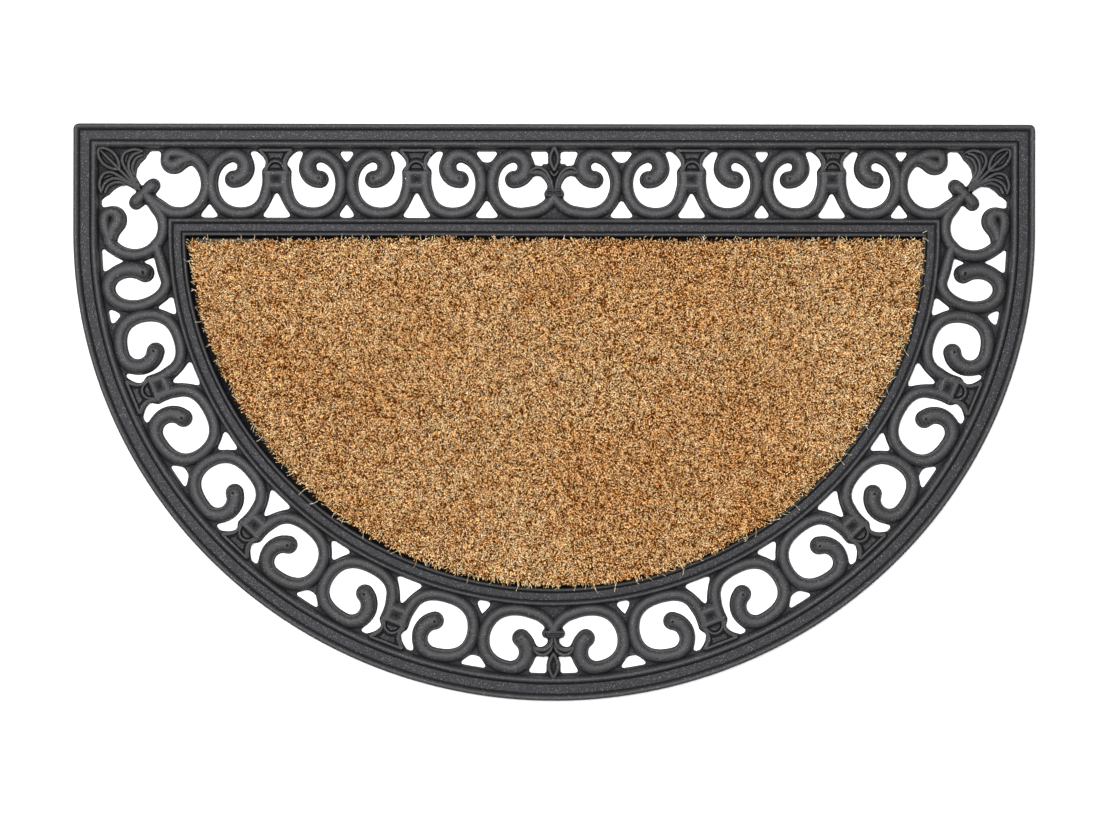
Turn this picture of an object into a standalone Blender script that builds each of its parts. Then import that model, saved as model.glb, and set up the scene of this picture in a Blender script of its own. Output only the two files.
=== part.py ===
"""Half-moon doormat: a moulded rubber frame with a scroll border, and a coir insert in its tray.

The mat lies flat on z = 0 with its straight back edge along +X at the largest Y.
Sizes are in millimetres and become metres where the meshes are made.
"""
import math

import bmesh
import bpy

MM = 0.001

# The outline: a straight back edge, two short straight sides and half an ellipse
MAT_WIDTH = 750.0
MAT_DEPTH = 450.0
SIDE_STRAIGHT = 85.0
CORNER_RADIUS = 4.5
SHARP_RADIUS = 0.5
FLAT_ANGLE = 0.4
OUTER_SEGMENTS = 50
INNER_SEGMENTS = 42
CORNER_SEGMENTS = 2

HALF_WIDTH = MAT_WIDTH / 2
BACK_Y = MAT_DEPTH / 2
CURVE_Y = BACK_Y - SIDE_STRAIGHT
CURVE_DEPTH = MAT_DEPTH - SIDE_STRAIGHT

# Distances in from the outer edge
OUTER_RIM = 19.2
BAND = 54.3
INNER_RIM_EDGE = OUTER_RIM + BAND
RECESS_EDGE = 87.0
BAND_MIDDLE = OUTER_RIM + BAND / 2
OUTER_LEDGE = 2.3
INNER_LEDGE = 1.1

# Heights above the floor
SINK = 1.0
WALL_TOP = 4.8
BEAD_TOP = 8.8
FLAT_TOP = 7.0
TRAY_FLOOR = 2.5
SCROLL_WALL = 4.9
SCROLL_TOP = 8.0
WEB_TOP = 3.2
COIR_TOP = 15.0
PIECE_GAP = 0.3

# The rim sections, as (distance in from the section's own outer edge, height)
OUTER_RIM_SECTION = (
    (0.0, -SINK),
    (0.0, WALL_TOP),
    (1.5, BEAD_TOP),
    (4.3, BEAD_TOP),
    (5.4, FLAT_TOP),
    (13.6, FLAT_TOP),
    (14.8, BEAD_TOP),
    (17.8, BEAD_TOP),
    (OUTER_RIM, WEB_TOP),
    (OUTER_RIM + OUTER_LEDGE, WEB_TOP),
    (OUTER_RIM + OUTER_LEDGE, -SINK),
)
INNER_RIM_SECTION = (
    (-INNER_LEDGE, -SINK),
    (-INNER_LEDGE, WEB_TOP),
    (0.0, WEB_TOP),
    (0.9, BEAD_TOP),
    (2.8, BEAD_TOP),
    (3.7, FLAT_TOP),
    (9.9, FLAT_TOP),
    (10.7, BEAD_TOP),
    (12.5, BEAD_TOP),
    (RECESS_EDGE - INNER_RIM_EDGE, WALL_TOP),
    (RECESS_EDGE - INNER_RIM_EDGE, TRAY_FLOOR),
)

# The scroll tubes: half width, and the section as (share of the half width, height)
TUBE = 5.15
TUBE_SECTION = (
    (-1.0, -1.3),
    (-1.0, SCROLL_WALL),
    (0.0, SCROLL_TOP),
    (1.0, SCROLL_WALL),
    (1.0, -1.3),
)
RING_STEPS = 10
CURL_STEPS = 5
END_REACH = 0.75
END_WIDTH = 0.62
RING_RISE = 22.4
OVERLAP = 1.4
TOP_CURL = {"switch": 70.0, "curl_along": 9.4, "curl_rise": 9.4, "end": 282.0, "widen": 1.3, "end_widen": 1.22}
CURVE_CURL = {"switch": 91.0, "curl_along": 12.6, "curl_rise": 13.2, "end": 238.0, "widen": 1.2, "end_widen": 1.22}
VOLUTE_CURLS = (
    {"switch": 75.0, "curl_along": 8.0, "curl_rise": 8.0, "end": 134.0, "widen": 1.4, "end_widen": 1.6},
    {"switch": 75.0, "curl_along": 9.5, "curl_rise": 9.5, "end": 152.0, "widen": 1.4, "end_widen": 1.6},
)
CORNER_CURL = {"switch": 90.0, "curl_along": 13.4, "curl_rise": 17.5, "end": 224.0, "widen": 1.15, "end_widen": 1.3}
VASE_STEM = 7.4
FLEUR_STEM = 5.2
STEM_TOP = 37.5

# Where the vases, fleurs and the places where two rings touch lie along the band
TOP_FLEUR_TO_TOUCH = 52.7
TOP_STEP = 54.8
CURVE_FLEUR_TO_TOUCH = 59.0
CURVE_STEP = 65.4
TOP_VASES = 2
CURVE_VASES = 3

# The scrolls at the corners, measured from the corner of the outer rim's inner edge
VOLUTE_ALONG = 62.3
VOLUTE_RADIUS = 22.2
VOLUTE_START = 228.0
CORNER_RING_HALF = 16.0
CORNER_RING_RISE = 4.4
CORNER_RING_START = 270.0
FLEUR_RING_START = 199.0
LAST_RING_CUT = 2.2

# Where a scroll starts before its ring: (along from the ring's centre, across, share of the half width)
VOLUTE_LEAD = ((-25.0, 18.2, 0.62), (-21.0, 14.2, 0.8))
CORNER_LEAD = ((-31.5, 9.8, 0.8), (-21.0, 6.9, 0.95), (-10.5, 5.2, 1.0))
FLEUR_LEAD_ALONG = 2.2
FLEUR_LEAD_ACROSS = 23.0
FLEUR_LEAD_WIDTH = 0.7

# The vase: (across, half width) down one side, and the corners of its block as (along, across)
VASE_SIDES = ((BAND + 1.2, 12.2), (51.0, 10.6), (47.0, 8.6), (43.5, 7.9), (39.5, 8.4), (36.5, 9.2))
VASE_BLOCK = ((-5.6, 38.2), (5.6, 38.2), (5.6, 21.0), (0.0, 17.4), (-5.6, 21.0))
VASE_SHOULDER = 0.8

# The fleur: its leaf is (along, across, half width); the web and collar are (along, across)
FLEUR_BUD = (34.0, BAND + 2.5, 4.6)
FLEUR_LEAF = ((0.6, 21.0, 2.4), (1.8, 28.5, 2.2), (4.6, 34.8, 2.3), (9.4, 38.4, 2.7), (14.6, 38.2, 2.9),
              (18.6, 35.6, 2.6))
FLEUR_COLLAR = ((-6.4, 20.6), (0.0, 20.6), (6.4, 20.6))
FLEUR_COLLAR_HALF = 2.9
FLEUR_WEB = ((-13.5, -1.5), (13.5, -1.5), (3.0, 10.5), (-3.0, 10.5))

# The palmette, measured from the corner: leaf lines are (along, down, half width)
PALMETTE_LEAF_START = -1.5
PALMETTE_LEAF_LONG = 17.5
PALMETTE_LEAF_HALF = 5.0
PALMETTE_STEM = ((13.0, 1.9), (24.0, 2.6), (34.0, 3.6))
PALMETTE_SIDE_LEAF = ((27.6, 27.0, 1.7), (24.9, 20.0, 2.7), (25.0, 12.5, 3.9), (28.2, 6.2, 4.6), (34.0, 2.0, 3.4))
PALMETTE_COLLAR_AT = 35.4
PALMETTE_COLLAR = ((-6.6, 4.3), (-2.6, 3.0), (2.6, 3.0), (6.6, 4.3))
PALMETTE_WEB = ((-1.2, -1.2), (35.0, -1.2), (25.5, 10.0), (27.0, 27.0), (10.0, 25.5), (-1.2, 35.0))

# The low webs between two rings, and the one gap beside a corner scroll that is closed
TOUCH_WEB = ((-4.2, 14.5), (4.2, 14.5), (2.8, 27.0), (4.2, 43.0), (-4.2, 43.0), (-2.8, 27.0))
CLOSED_GAP = ((-10.5, BAND + 0.6), (10.5, BAND + 0.6), (3.4, 41.0), (-3.4, 41.0))

# The coir insert
COIR_INSET = 89.3
COIR_SHIFT = 1.4
COIR_CHAMFER = 1.2


def curve_point(angle, inset):
    """A point on the curved edge, `inset` inwards; angle 0 is the right end, 180 the left."""
    a, b = HALF_WIDTH, CURVE_DEPTH
    c, s = math.cos(angle), math.sin(angle)
    nx, ny = c / a, -s / b
    size = math.hypot(nx, ny)
    return a * c - inset * nx / size, CURVE_Y - b * s - inset * ny / size


def outline(inset, segments):
    """The closed D-shaped line at one distance in from the outer edge."""
    radius = max(CORNER_RADIUS - inset, SHARP_RADIUS)
    x, y = HALF_WIDTH - inset - radius, BACK_Y - inset - radius
    points = []
    for side, first in ((1, 0.0), (-1, 90.0)):
        for k in range(CORNER_SEGMENTS + 1):
            turn = math.radians(first + 90.0 * k / CORNER_SEGMENTS)
            points.append((side * x + radius * math.cos(turn), y + radius * math.sin(turn)))
    below = max(CURVE_Y - (y - SHARP_RADIUS), 0.0)
    first = math.asin(below / (CURVE_DEPTH - inset))
    for k in range(segments + 1):
        points.append(curve_point(math.pi - first - (math.pi - 2 * first) * k / segments, inset))
    return points


def curve_lengths(steps=1200):
    """Lengths along the middle of the curved band, from the bottom centre to the right end."""
    lengths, total = [0.0], 0.0
    last = curve_point(math.pi / 2, BAND_MIDDLE)
    for k in range(1, steps + 1):
        here = curve_point(math.pi / 2 * (1 - k / steps), BAND_MIDDLE)
        total += math.dist(last, here)
        lengths.append(total)
        last = here
    return lengths


CURVE_LENGTHS = curve_lengths()
CURVE_HALF = CURVE_LENGTHS[-1]


def top_place(along, across):
    """Top band: `along` from the middle, `across` up from the inner rim."""
    return along, BACK_Y - INNER_RIM_EDGE + across


def curve_place(along, across):
    """Curved band: `along` its middle line from the bottom centre, `across` from the inner rim."""
    side = -1 if along < 0 else 1
    along = abs(along)
    inset = INNER_RIM_EDGE - across
    if along >= CURVE_HALF:
        return side * (HALF_WIDTH - inset), CURVE_Y + along - CURVE_HALF
    low, high = 0, len(CURVE_LENGTHS) - 1
    while high - low > 1:
        middle = (low + high) // 2
        if CURVE_LENGTHS[middle] <= along:
            low = middle
        else:
            high = middle
    share = (along - CURVE_LENGTHS[low]) / (CURVE_LENGTHS[high] - CURVE_LENGTHS[low])
    angle = math.pi / 2 * (1 - (low + share) / (len(CURVE_LENGTHS) - 1))
    x, y = curve_point(angle, inset)
    return side * x, y


def corner_place(side, swap):
    """A corner: `along` from the outer rim's corner and `across` as in the top band.

    With swap the form lies in the side band, mirrored in the corner's diagonal."""
    def place(along, across):
        down = BAND - across
        if swap:
            along, down = down, along
        return side * (HALF_WIDTH - OUTER_RIM - along), BACK_Y - OUTER_RIM - down
    return place


def solid(name, points, faces):
    """A closed mesh from points in millimetres, its faces turned outwards."""
    mesh = bpy.data.meshes.new(name)
    mesh.from_pydata([(x * MM, y * MM, z * MM) for x, y, z in points], [], faces)
    shape = bmesh.new()
    shape.from_mesh(mesh)
    bmesh.ops.recalc_face_normals(shape, faces=shape.faces)
    shape.to_mesh(mesh)
    shape.free()
    made = bpy.data.objects.new(name, mesh)
    bpy.context.collection.objects.link(made)
    return made


def rim(name, start, section, segments, filled):
    """A rim whose section runs round the outline; a filled one also closes its middle."""
    rows = [[(x, y, z) for x, y in outline(start + inward, segments)] for inward, z in section]
    count = len(rows[0])
    points = [point for row in rows for point in row]
    faces = []
    for r in range(len(rows) - 1 if filled else len(rows)):
        near, far = r * count, (r + 1) % len(rows) * count
        for k in range(count):
            after = (k + 1) % count
            faces.append((near + k, near + after, far + after, far + k))
    if filled:
        faces.append(tuple(range(count)))
        faces.append(tuple((len(rows) - 1) * count + k for k in range(count)))
    return solid(name, points, faces)


def plate(name, outline_points, top, sink, shoulder=0.0):
    """A plate with the given outline; its upper edge slopes in by `shoulder`."""
    count = len(outline_points)
    middle_x = sum(x for x, y in outline_points) / count
    middle_y = sum(y for x, y in outline_points) / count
    rows = [(0.0, -sink), (0.0, top)]
    if shoulder:
        rows = [(0.0, -sink), (0.0, top - shoulder), (shoulder, top)]
    points = []
    for inward, z in rows:
        for x, y in outline_points:
            away = math.hypot(x - middle_x, y - middle_y)
            scale = (away - inward) / away
            points.append((middle_x + (x - middle_x) * scale, middle_y + (y - middle_y) * scale, z))
    faces = [tuple(range(count)), tuple(len(points) - count + k for k in range(count))]
    for r in range(len(rows) - 1):
        for k in range(count):
            after = (k + 1) % count
            faces.append((r * count + k, r * count + after, (r + 1) * count + after, (r + 1) * count + k))
    return solid(name, points, faces)


def tube(name, line, lift, round_end):
    """A half-round bar along a line of (x, y, half width), with a rounded far end."""
    line = list(line)
    if round_end:
        (x0, y0, _), (x1, y1, half) = line[-2:]
        away = math.hypot(x1 - x0, y1 - y0)
        dx, dy = (x1 - x0) / away, (y1 - y0) / away
        line.append((x1 + dx * half * END_REACH, y1 + dy * half * END_REACH, half * END_WIDTH))
    rows = len(line)
    wide = len(TUBE_SECTION)
    points = []
    for k, (x, y, half) in enumerate(line):
        back, ahead = line[max(k - 1, 0)], line[min(k + 1, rows - 1)]
        tx, ty = ahead[0] - back[0], ahead[1] - back[1]
        size = math.hypot(tx, ty)
        sx, sy = -ty / size, tx / size
        for share, z in TUBE_SECTION:
            height = z + lift if z > 0 else z - lift
            points.append((x + sx * share * half, y + sy * share * half, height))
    faces = [tuple(range(wide)), tuple((rows - 1) * wide + k for k in range(wide))]
    for k in range(rows - 1):
        for j in range(wide):
            after = (j + 1) % wide
            faces.append((k * wide + j, k * wide + after, (k + 1) * wide + after, (k + 1) * wide + j))
    return solid(name, points, faces)


def ring_line(place, centre, half_along, toward, lead, curl, start):
    """The line of one scroll: down its stem, round the ring and in to the curl.

    `toward` is +1 where the ring closes at larger `along`, -1 where it closes at smaller."""
    middle = BAND / 2
    switch, end = curl["switch"], curl["end"]
    curl_along, curl_rise = curl["curl_along"], curl["curl_rise"]
    widen, end_widen = curl["widen"], curl["end_widen"]
    bends = [(centre + toward * along, across, share) for along, across, share in lead]
    for k in range(RING_STEPS + 1):
        angle = math.radians(start + (360 + switch - start) * k / RING_STEPS)
        bends.append((centre + toward * half_along * math.cos(angle),
                      middle + RING_RISE * math.sin(angle), 1.0))
    turn = math.radians(switch)
    curl_centre = centre + toward * (half_along - curl_along) * math.cos(turn)
    curl_middle = middle + (RING_RISE - curl_rise) * math.sin(turn)
    for k in range(1, CURL_STEPS + 1):
        share = k / CURL_STEPS
        angle = math.radians(switch + (end - switch) * share)
        width = 1.0 + (widen - 1.0) * min(share / 0.6, 1.0)
        if share > 0.6:
            width += (end_widen - widen) * (share - 0.6) / 0.4
        bends.append((curl_centre + toward * curl_along * math.cos(angle),
                      curl_middle + curl_rise * math.sin(angle), width))
    return [(*place(along, across), TUBE * share) for along, across, share in bends]


def vase(name, place, along):
    """A flared vase from the outer rim down to the block where its two stems meet."""
    left = [place(along - half, across) for across, half in VASE_SIDES]
    right = [place(along + half, across) for across, half in reversed(VASE_SIDES)]
    body = plate(name, left + right, SCROLL_TOP - 0.4, 1.6, VASE_SHOULDER)
    block = [place(along + u, v) for u, v in VASE_BLOCK]
    return [body, plate(name + "_block", block, SCROLL_TOP - 1.1, 1.9)]


def lens(place, along, low, high, half, steps=4):
    """A pointed oval between two distances across the band."""
    points = []
    for side in (1, -1):
        for k in range(steps):
            share = k / steps if side > 0 else 1 - k / steps
            across = low + (high - low) * share
            points.append(place(along + side * half * math.sin(math.pi * share), across))
    return points


def fleur(name, place, along):
    """A bud, two arched leaves, a stem and a collar over the V where two rings meet."""
    pieces = [plate(name + "_bud", lens(place, along, *FLEUR_BUD), SCROLL_TOP - 0.6, 1.7, 0.6)]
    for side in (1, -1):
        line = [(*place(along + side * u, v), half) for u, v, half in FLEUR_LEAF]
        pieces.append(tube(f"{name}_leaf_{side + 1}", line, -0.5 - 0.07 * side, False))
    collar = [(*place(along + u, v), FLEUR_COLLAR_HALF) for u, v in FLEUR_COLLAR]
    pieces.append(tube(name + "_collar", collar, 0.35, False))
    web = [place(along + u, v) for u, v in FLEUR_WEB]
    pieces.append(plate(name + "_web", web, WEB_TOP + 0.3, 2.2))
    return pieces


def palmette(name, side):
    """The corner ornament: a lens leaf, two side leaves, a stem and a knobbed collar."""
    def spot(along, down):
        return corner_place(side, False)(along, BAND - down)

    body = []
    steps = 5
    for turn in (1, -1):
        for k in range(steps):
            share = k / steps if turn > 0 else 1 - k / steps
            reach = PALMETTE_LEAF_START + PALMETTE_LEAF_LONG * share
            wide = turn * PALMETTE_LEAF_HALF * math.sin(math.pi * (0.12 + 0.88 * share)) * math.sqrt(0.5)
            body.append(spot(reach + wide, reach - wide))
    pieces = [plate(name + "_leaf", body, SCROLL_TOP - 0.5, 1.75, 0.7)]
    stem = [(*spot(reach, reach), wide) for reach, wide in PALMETTE_STEM]
    pieces.append(tube(name + "_stem", stem, -0.35, False))
    for swap in (0, 1):
        here = corner_place(side, bool(swap))
        line = [(*here(along, BAND - down), wide) for along, down, wide in PALMETTE_SIDE_LEAF]
        pieces.append(tube(f"{name}_side_leaf_{swap}", line, -0.55 - 0.09 * swap, True))
    collar = [(*spot(PALMETTE_COLLAR_AT + wide, PALMETTE_COLLAR_AT - wide), thick)
              for wide, thick in PALMETTE_COLLAR]
    pieces.append(tube(name + "_collar", collar, 0.3, False))
    web = [spot(along, down) for along, down in PALMETTE_WEB]
    pieces.append(plate(name + "_web", web, WEB_TOP - 0.15, 2.35))
    return pieces


def corner_scrolls(name, side):
    """The two scrolls that leave the palmette, and the ring squeezed in below them."""
    pieces = []
    for swap in (0, 1):
        line = ring_line(corner_place(side, bool(swap)), VOLUTE_ALONG - swap, VOLUTE_RADIUS, 1, VOLUTE_LEAD,
                         VOLUTE_CURLS[swap], VOLUTE_START)
        pieces.append(tube(f"{name}_volute_{swap}", line, 0.05 + 0.1 * swap, True))
    last = touch_along(CURVE_VASES + 1, CURVE_FLEUR_TO_TOUCH, CURVE_STEP) - CORNER_RING_RISE
    centre = last + CORNER_RING_HALF + TUBE - OVERLAP
    line = ring_line(curve_place, side * centre, CORNER_RING_HALF, -side, CORNER_LEAD, CORNER_CURL,
                     CORNER_RING_START)
    pieces.append(tube(name + "_ring", line, -0.08, True))
    return pieces


def touch_along(number, first, step):
    """Where ring pair `number` (from 1) touches, along the band."""
    return first + 2 * step * (number - 1)


def band_scrolls(name, place, first, step, vases, curl):
    """All rings, vases, webs and the fleur of one band."""
    pieces = fleur(name + "_fleur", place, 0.0)
    for side in (1, -1):
        half = (first - FLEUR_STEM - TUBE + OVERLAP) / 2
        lead = ((-half - FLEUR_LEAD_ALONG, FLEUR_LEAD_ACROSS, FLEUR_LEAD_WIDTH),)
        line = ring_line(place, side * (FLEUR_STEM + half), half, side, lead, curl, FLEUR_RING_START)
        pieces.append(tube(f"{name}_fleur_ring_{side + 1}", line, 0.02 * side, True))
        for number in range(1, vases + 2):
            touch = side * touch_along(number, first, step)
            web = [place(touch + u, v) for u, v in TOUCH_WEB]
            pieces.append(plate(f"{name}_web_{number}_{side + 1}", web, WEB_TOP - 0.3, 2.05))
        for number in range(1, vases + 1):
            along = side * (touch_along(number, first, step) + step)
            pieces += vase(f"{name}_vase_{number}_{side + 1}", place, along)
            half = (step - VASE_STEM - TUBE + OVERLAP) / 2
            last = number == vases and place is curve_place
            for turn in (1, -1):
                here = half - LAST_RING_CUT if last and turn == side else half
                lead = ((-here, STEM_TOP, 1.0),)
                line = ring_line(place, along + turn * (VASE_STEM + here), here, turn, lead, curl, 180.0)
                pieces.append(tube(f"{name}_ring_{number}_{side + 1}_{turn + 1}", line, 0.04 * turn, True))
    return pieces


def join_all(body, pieces):
    """Unites the pieces with the body, then cuts the underside flat at the floor."""
    group = bpy.data.collections.new("frame_pieces")
    bpy.context.scene.collection.children.link(group)
    for piece in pieces:
        group.objects.link(piece)
    bpy.context.view_layer.objects.active = body
    union = body.modifiers.new("join the border", 'BOOLEAN')
    union.operation = 'UNION'
    union.operand_type = 'COLLECTION'
    union.collection = group
    union.solver = 'EXACT'
    bpy.ops.object.modifier_apply(modifier=union.name)
    for piece in pieces:
        bpy.data.objects.remove(piece, do_unlink=True)
    bpy.data.collections.remove(group)
    reach = MAT_WIDTH
    below = [(-reach, -reach), (reach, -reach), (reach, reach), (-reach, reach)]
    floor = plate("below_the_floor", below, 0.0, 40.0)
    cut = body.modifiers.new("flat underside", 'BOOLEAN')
    cut.operation = 'DIFFERENCE'
    cut.object = floor
    cut.solver = 'EXACT'
    bpy.ops.object.modifier_apply(modifier=cut.name)
    bpy.data.objects.remove(floor, do_unlink=True)
    tidy_flats(body)


def tidy_flats(body):
    """Merges faces that lie in one plane, which leaves the shape as it is."""
    shape = bmesh.new()
    shape.from_mesh(body.data)
    bmesh.ops.dissolve_limit(shape, angle_limit=math.radians(FLAT_ANGLE), verts=shape.verts, edges=shape.edges)
    shape.to_mesh(body.data)
    shape.free()


def coir_insert():
    """The coir insert, a half-moon slab with a slightly worn upper edge."""
    floor = TRAY_FLOOR + PIECE_GAP
    rows = ((0.0, floor), (0.0, COIR_TOP - COIR_CHAMFER), (COIR_CHAMFER, COIR_TOP))
    rings = [[(x + COIR_SHIFT, y, z) for x, y in outline(COIR_INSET + inward, INNER_SEGMENTS)] for inward, z in rows]
    count = len(rings[0])
    points = [point for ring in rings for point in ring]
    faces = [tuple(range(count)), tuple(2 * count + k for k in range(count))]
    for r in range(2):
        for k in range(count):
            after = (k + 1) % count
            faces.append((r * count + k, r * count + after, (r + 1) * count + after, (r + 1) * count + k))
    return solid("coir", points, faces)


def material(name, colour, roughness):
    made = bpy.data.materials.new(name)
    made.use_nodes = True
    shader = made.node_tree.nodes["Principled BSDF"]
    shader.inputs["Base Color"].default_value = (*colour, 1.0)
    shader.inputs["Roughness"].default_value = roughness
    return made


def main():
    for old in list(bpy.data.objects):
        bpy.data.objects.remove(old, do_unlink=True)
    frame = rim("frame", INNER_RIM_EDGE, INNER_RIM_SECTION, INNER_SEGMENTS, True)
    pieces = [rim("outer_rim", 0.0, OUTER_RIM_SECTION, OUTER_SEGMENTS, False)]
    pieces += band_scrolls("top", top_place, TOP_FLEUR_TO_TOUCH, TOP_STEP, TOP_VASES, TOP_CURL)
    pieces += band_scrolls("curve", curve_place, CURVE_FLEUR_TO_TOUCH, CURVE_STEP, CURVE_VASES, CURVE_CURL)
    for side in (1, -1):
        pieces += palmette(f"palmette_{side + 1}", side)
        pieces += corner_scrolls(f"corner_{side + 1}", side)
    closed = -touch_along(TOP_VASES + 1, TOP_FLEUR_TO_TOUCH, TOP_STEP)
    gap = [top_place(closed + u, v) for u, v in CLOSED_GAP]
    pieces.append(plate("closed_gap", gap, WEB_TOP + 0.4, 2.6))
    join_all(frame, pieces)
    coir = coir_insert()
    frame.data.materials.clear()
    frame.data.materials.append(material("rubber", (0.045, 0.046, 0.049), 0.55))
    coir.data.materials.append(material("coir", (0.45, 0.27, 0.12), 0.9))


main()
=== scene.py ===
"""Half-moon doormat: the finish of its moulded rubber frame and its coir pile.

Lengths are in millimetres until a mesh is made. Band coordinates are (along, across): along the
scroll band and outwards from the inner rim, as the mould maker would draw the border flat.
"""
import math

import bpy
import numpy as np
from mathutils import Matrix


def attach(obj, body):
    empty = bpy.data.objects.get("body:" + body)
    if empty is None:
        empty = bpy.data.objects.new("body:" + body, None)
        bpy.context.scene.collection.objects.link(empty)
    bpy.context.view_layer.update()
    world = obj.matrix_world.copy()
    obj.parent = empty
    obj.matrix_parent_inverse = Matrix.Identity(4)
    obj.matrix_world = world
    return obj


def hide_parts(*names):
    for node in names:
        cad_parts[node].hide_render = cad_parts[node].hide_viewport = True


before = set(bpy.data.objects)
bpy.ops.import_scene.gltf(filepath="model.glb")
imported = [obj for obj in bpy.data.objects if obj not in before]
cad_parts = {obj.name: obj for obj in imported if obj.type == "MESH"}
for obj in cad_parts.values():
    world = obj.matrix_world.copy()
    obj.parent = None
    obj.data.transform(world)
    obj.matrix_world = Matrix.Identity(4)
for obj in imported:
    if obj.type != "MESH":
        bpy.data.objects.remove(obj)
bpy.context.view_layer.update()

MM = 0.001
CRISP_ANGLE = 42.0
# Points closer than this are merged, in metres
MERGE_REACH = 1e-6
WEB_MERGE_REACH = 2e-6

# The outline and the rims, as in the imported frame
HALF_WIDTH = 375.0
BACK_Y = 225.0
CURVE_Y = 140.0
CURVE_DEPTH = 365.0
CORNER_RADIUS = 4.5
SHARP_RADIUS = 0.8
OUTER_RIM = 19.2
BAND = 54.3
INNER_RIM_EDGE = OUTER_RIM + BAND
BAND_MIDDLE = OUTER_RIM + BAND / 2
OUTER_LEDGE = 0.9
INNER_LEDGE = 0.2
TRAY_FLOOR = 2.5
TRAY_WALL = 87.9
WEB_TOP = 3.2
WEB_FOOT = 0.15
TOP_STATIONS = 30
SIDE_STATIONS = 5
CURVE_STATIONS = 150
CORNER_STATIONS = 5

# Rim sections from the outside in: (distance in, height, finish), where the finish is 0 smooth,
# 1 grained and 2 tray, whose rubber is painted darker as shade
OUTER_RIM_SECTION = (
    (0.5, 0.0, 0), (0.0, 0.6, 0), (0.0, 4.6, 0), (0.1, 6.0, 0), (0.4, 7.4, 0), (0.9, 8.3, 0), (1.6, 8.75, 0),
    (2.5, 8.8, 0), (3.4, 8.5, 0), (4.2, 7.9, 0), (4.7, 7.0, 0), (4.95, 5.8, 0), (5.5, 5.6, 0), (5.7, 6.2, 0),
    (5.85, 6.9, 1), (6.2, 7.0, 1), (6.8, 7.0, 1), (8.4, 7.0, 1), (10.4, 7.0, 1), (12.0, 7.0, 1),
    (12.8, 6.9, 1), (13.05, 6.0, 0), (13.2, 5.4, 0), (13.6, 5.4, 0), (13.8, 6.3, 0), (14.2, 7.6, 0),
    (14.8, 8.45, 0), (15.5, 8.8, 0), (16.3, 8.85, 0), (17.1, 8.6, 0), (17.8, 8.1, 0), (18.4, 7.3, 0),
    (18.95, 6.0, 0), (19.2, 4.6, 0), (19.4, 2.9, 0), (21.0, 2.9, 0), (21.0, 0.0, 0),
)
INNER_RIM_SECTION = (
    (73.0, 0.0, 0), (73.0, 2.9, 0), (73.6, 3.0, 0), (73.9, 5.6, 0), (74.3, 7.3, 0), (74.9, 8.4, 0),
    (75.6, 8.85, 0), (76.4, 8.75, 0), (77.1, 8.2, 0), (77.6, 7.2, 0), (77.85, 6.0, 0), (78.25, 5.7, 0),
    (78.45, 6.2, 0), (78.6, 6.9, 1), (79.0, 7.05, 1), (80.4, 7.05, 1), (82.1, 7.05, 1), (83.5, 7.05, 1),
    (84.0, 6.9, 1), (84.25, 6.1, 0), (84.5, 5.5, 0), (84.9, 5.5, 0), (85.05, 6.3, 0), (85.35, 7.7, 0),
    (85.8, 8.55, 0), (86.4, 8.85, 0), (87.1, 8.75, 0), (87.6, 8.1, 0), (87.95, 6.8, 0), (88.0, TRAY_FLOOR, 2),
)
# The grained strip ends this far past its last spot; faces count as strip or tray above these heights
GRAIN_MARGIN = 1.8
GRAIN_ABOVE = 6.2
TRAY_ABOVE = 0.5

# The scroll tubes and the places of rings, vases and fleurs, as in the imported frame
TUBE = 4.5
TUBE_TOP = 8.0
TUBE_RISE = 0.98
TUBE_FOOT = 1.0
TUBE_SQUARENESS = 2.35
RING_MIDDLE = 26.7
RING_RISE = 23.3
RING_TO_TOUCH = 3.8
RING_SLANT = 1.1
ARC_STEP = 14.0
CURL_STEP = 20.0
# The share of a curl over which it widens, before its end widens further
CURL_WIDENS = 0.6
# A rounded end: its rows by angle, how blunt it is and how it narrows
END_REACH = 0.76
END_TURNS = (16.0, 32.0, 48.0, 64.0, 78.0, 86.0, 90.0)
END_BLUNTNESS = 0.85
END_NARROWING = 0.72
# Fullness is how far a ring bulges outside an ellipse at its diagonals
TOP_CURL = {"switch": 70.0, "curl_along": 9.4, "curl_rise": 9.4, "end": 272.0, "widen": 1.4,
            "end_widen": 1.36, "fullness": 0.028}
CURVE_CURL = {"switch": 91.0, "curl_along": 12.6, "curl_rise": 13.2, "end": 248.0, "widen": 1.27,
              "end_widen": 1.42, "fullness": 0.056}
FLEUR_CURL = {"switch": 82.0, "curl_along": 12.2, "curl_rise": 13.0, "end": 237.0, "widen": 1.34,
              "end_widen": 1.44, "fullness": 0.035}
VOLUTE_SWITCH = 52.0
# The crook of a volute about the hollow in its middle: (along, across, width)
VOLUTE_CROOK = ((12.7, 2.5, 1.0), (8.5, 4.3, 1.02), (3.2, 5.2, 1.0), (-1.2, 4.7, 0.96), (-3.4, 2.4, 0.95),
                (-3.8, -0.8, 1.02), (-2.6, -3.1, 1.13), (-0.2, -4.3, 1.24), (3.0, -4.1, 1.28),
                (5.7, -2.5, 1.22), (8.2, -0.9, 1.14), (11.4, 0.2, 1.0), (14.6, 0.5, 0.88))
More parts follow.
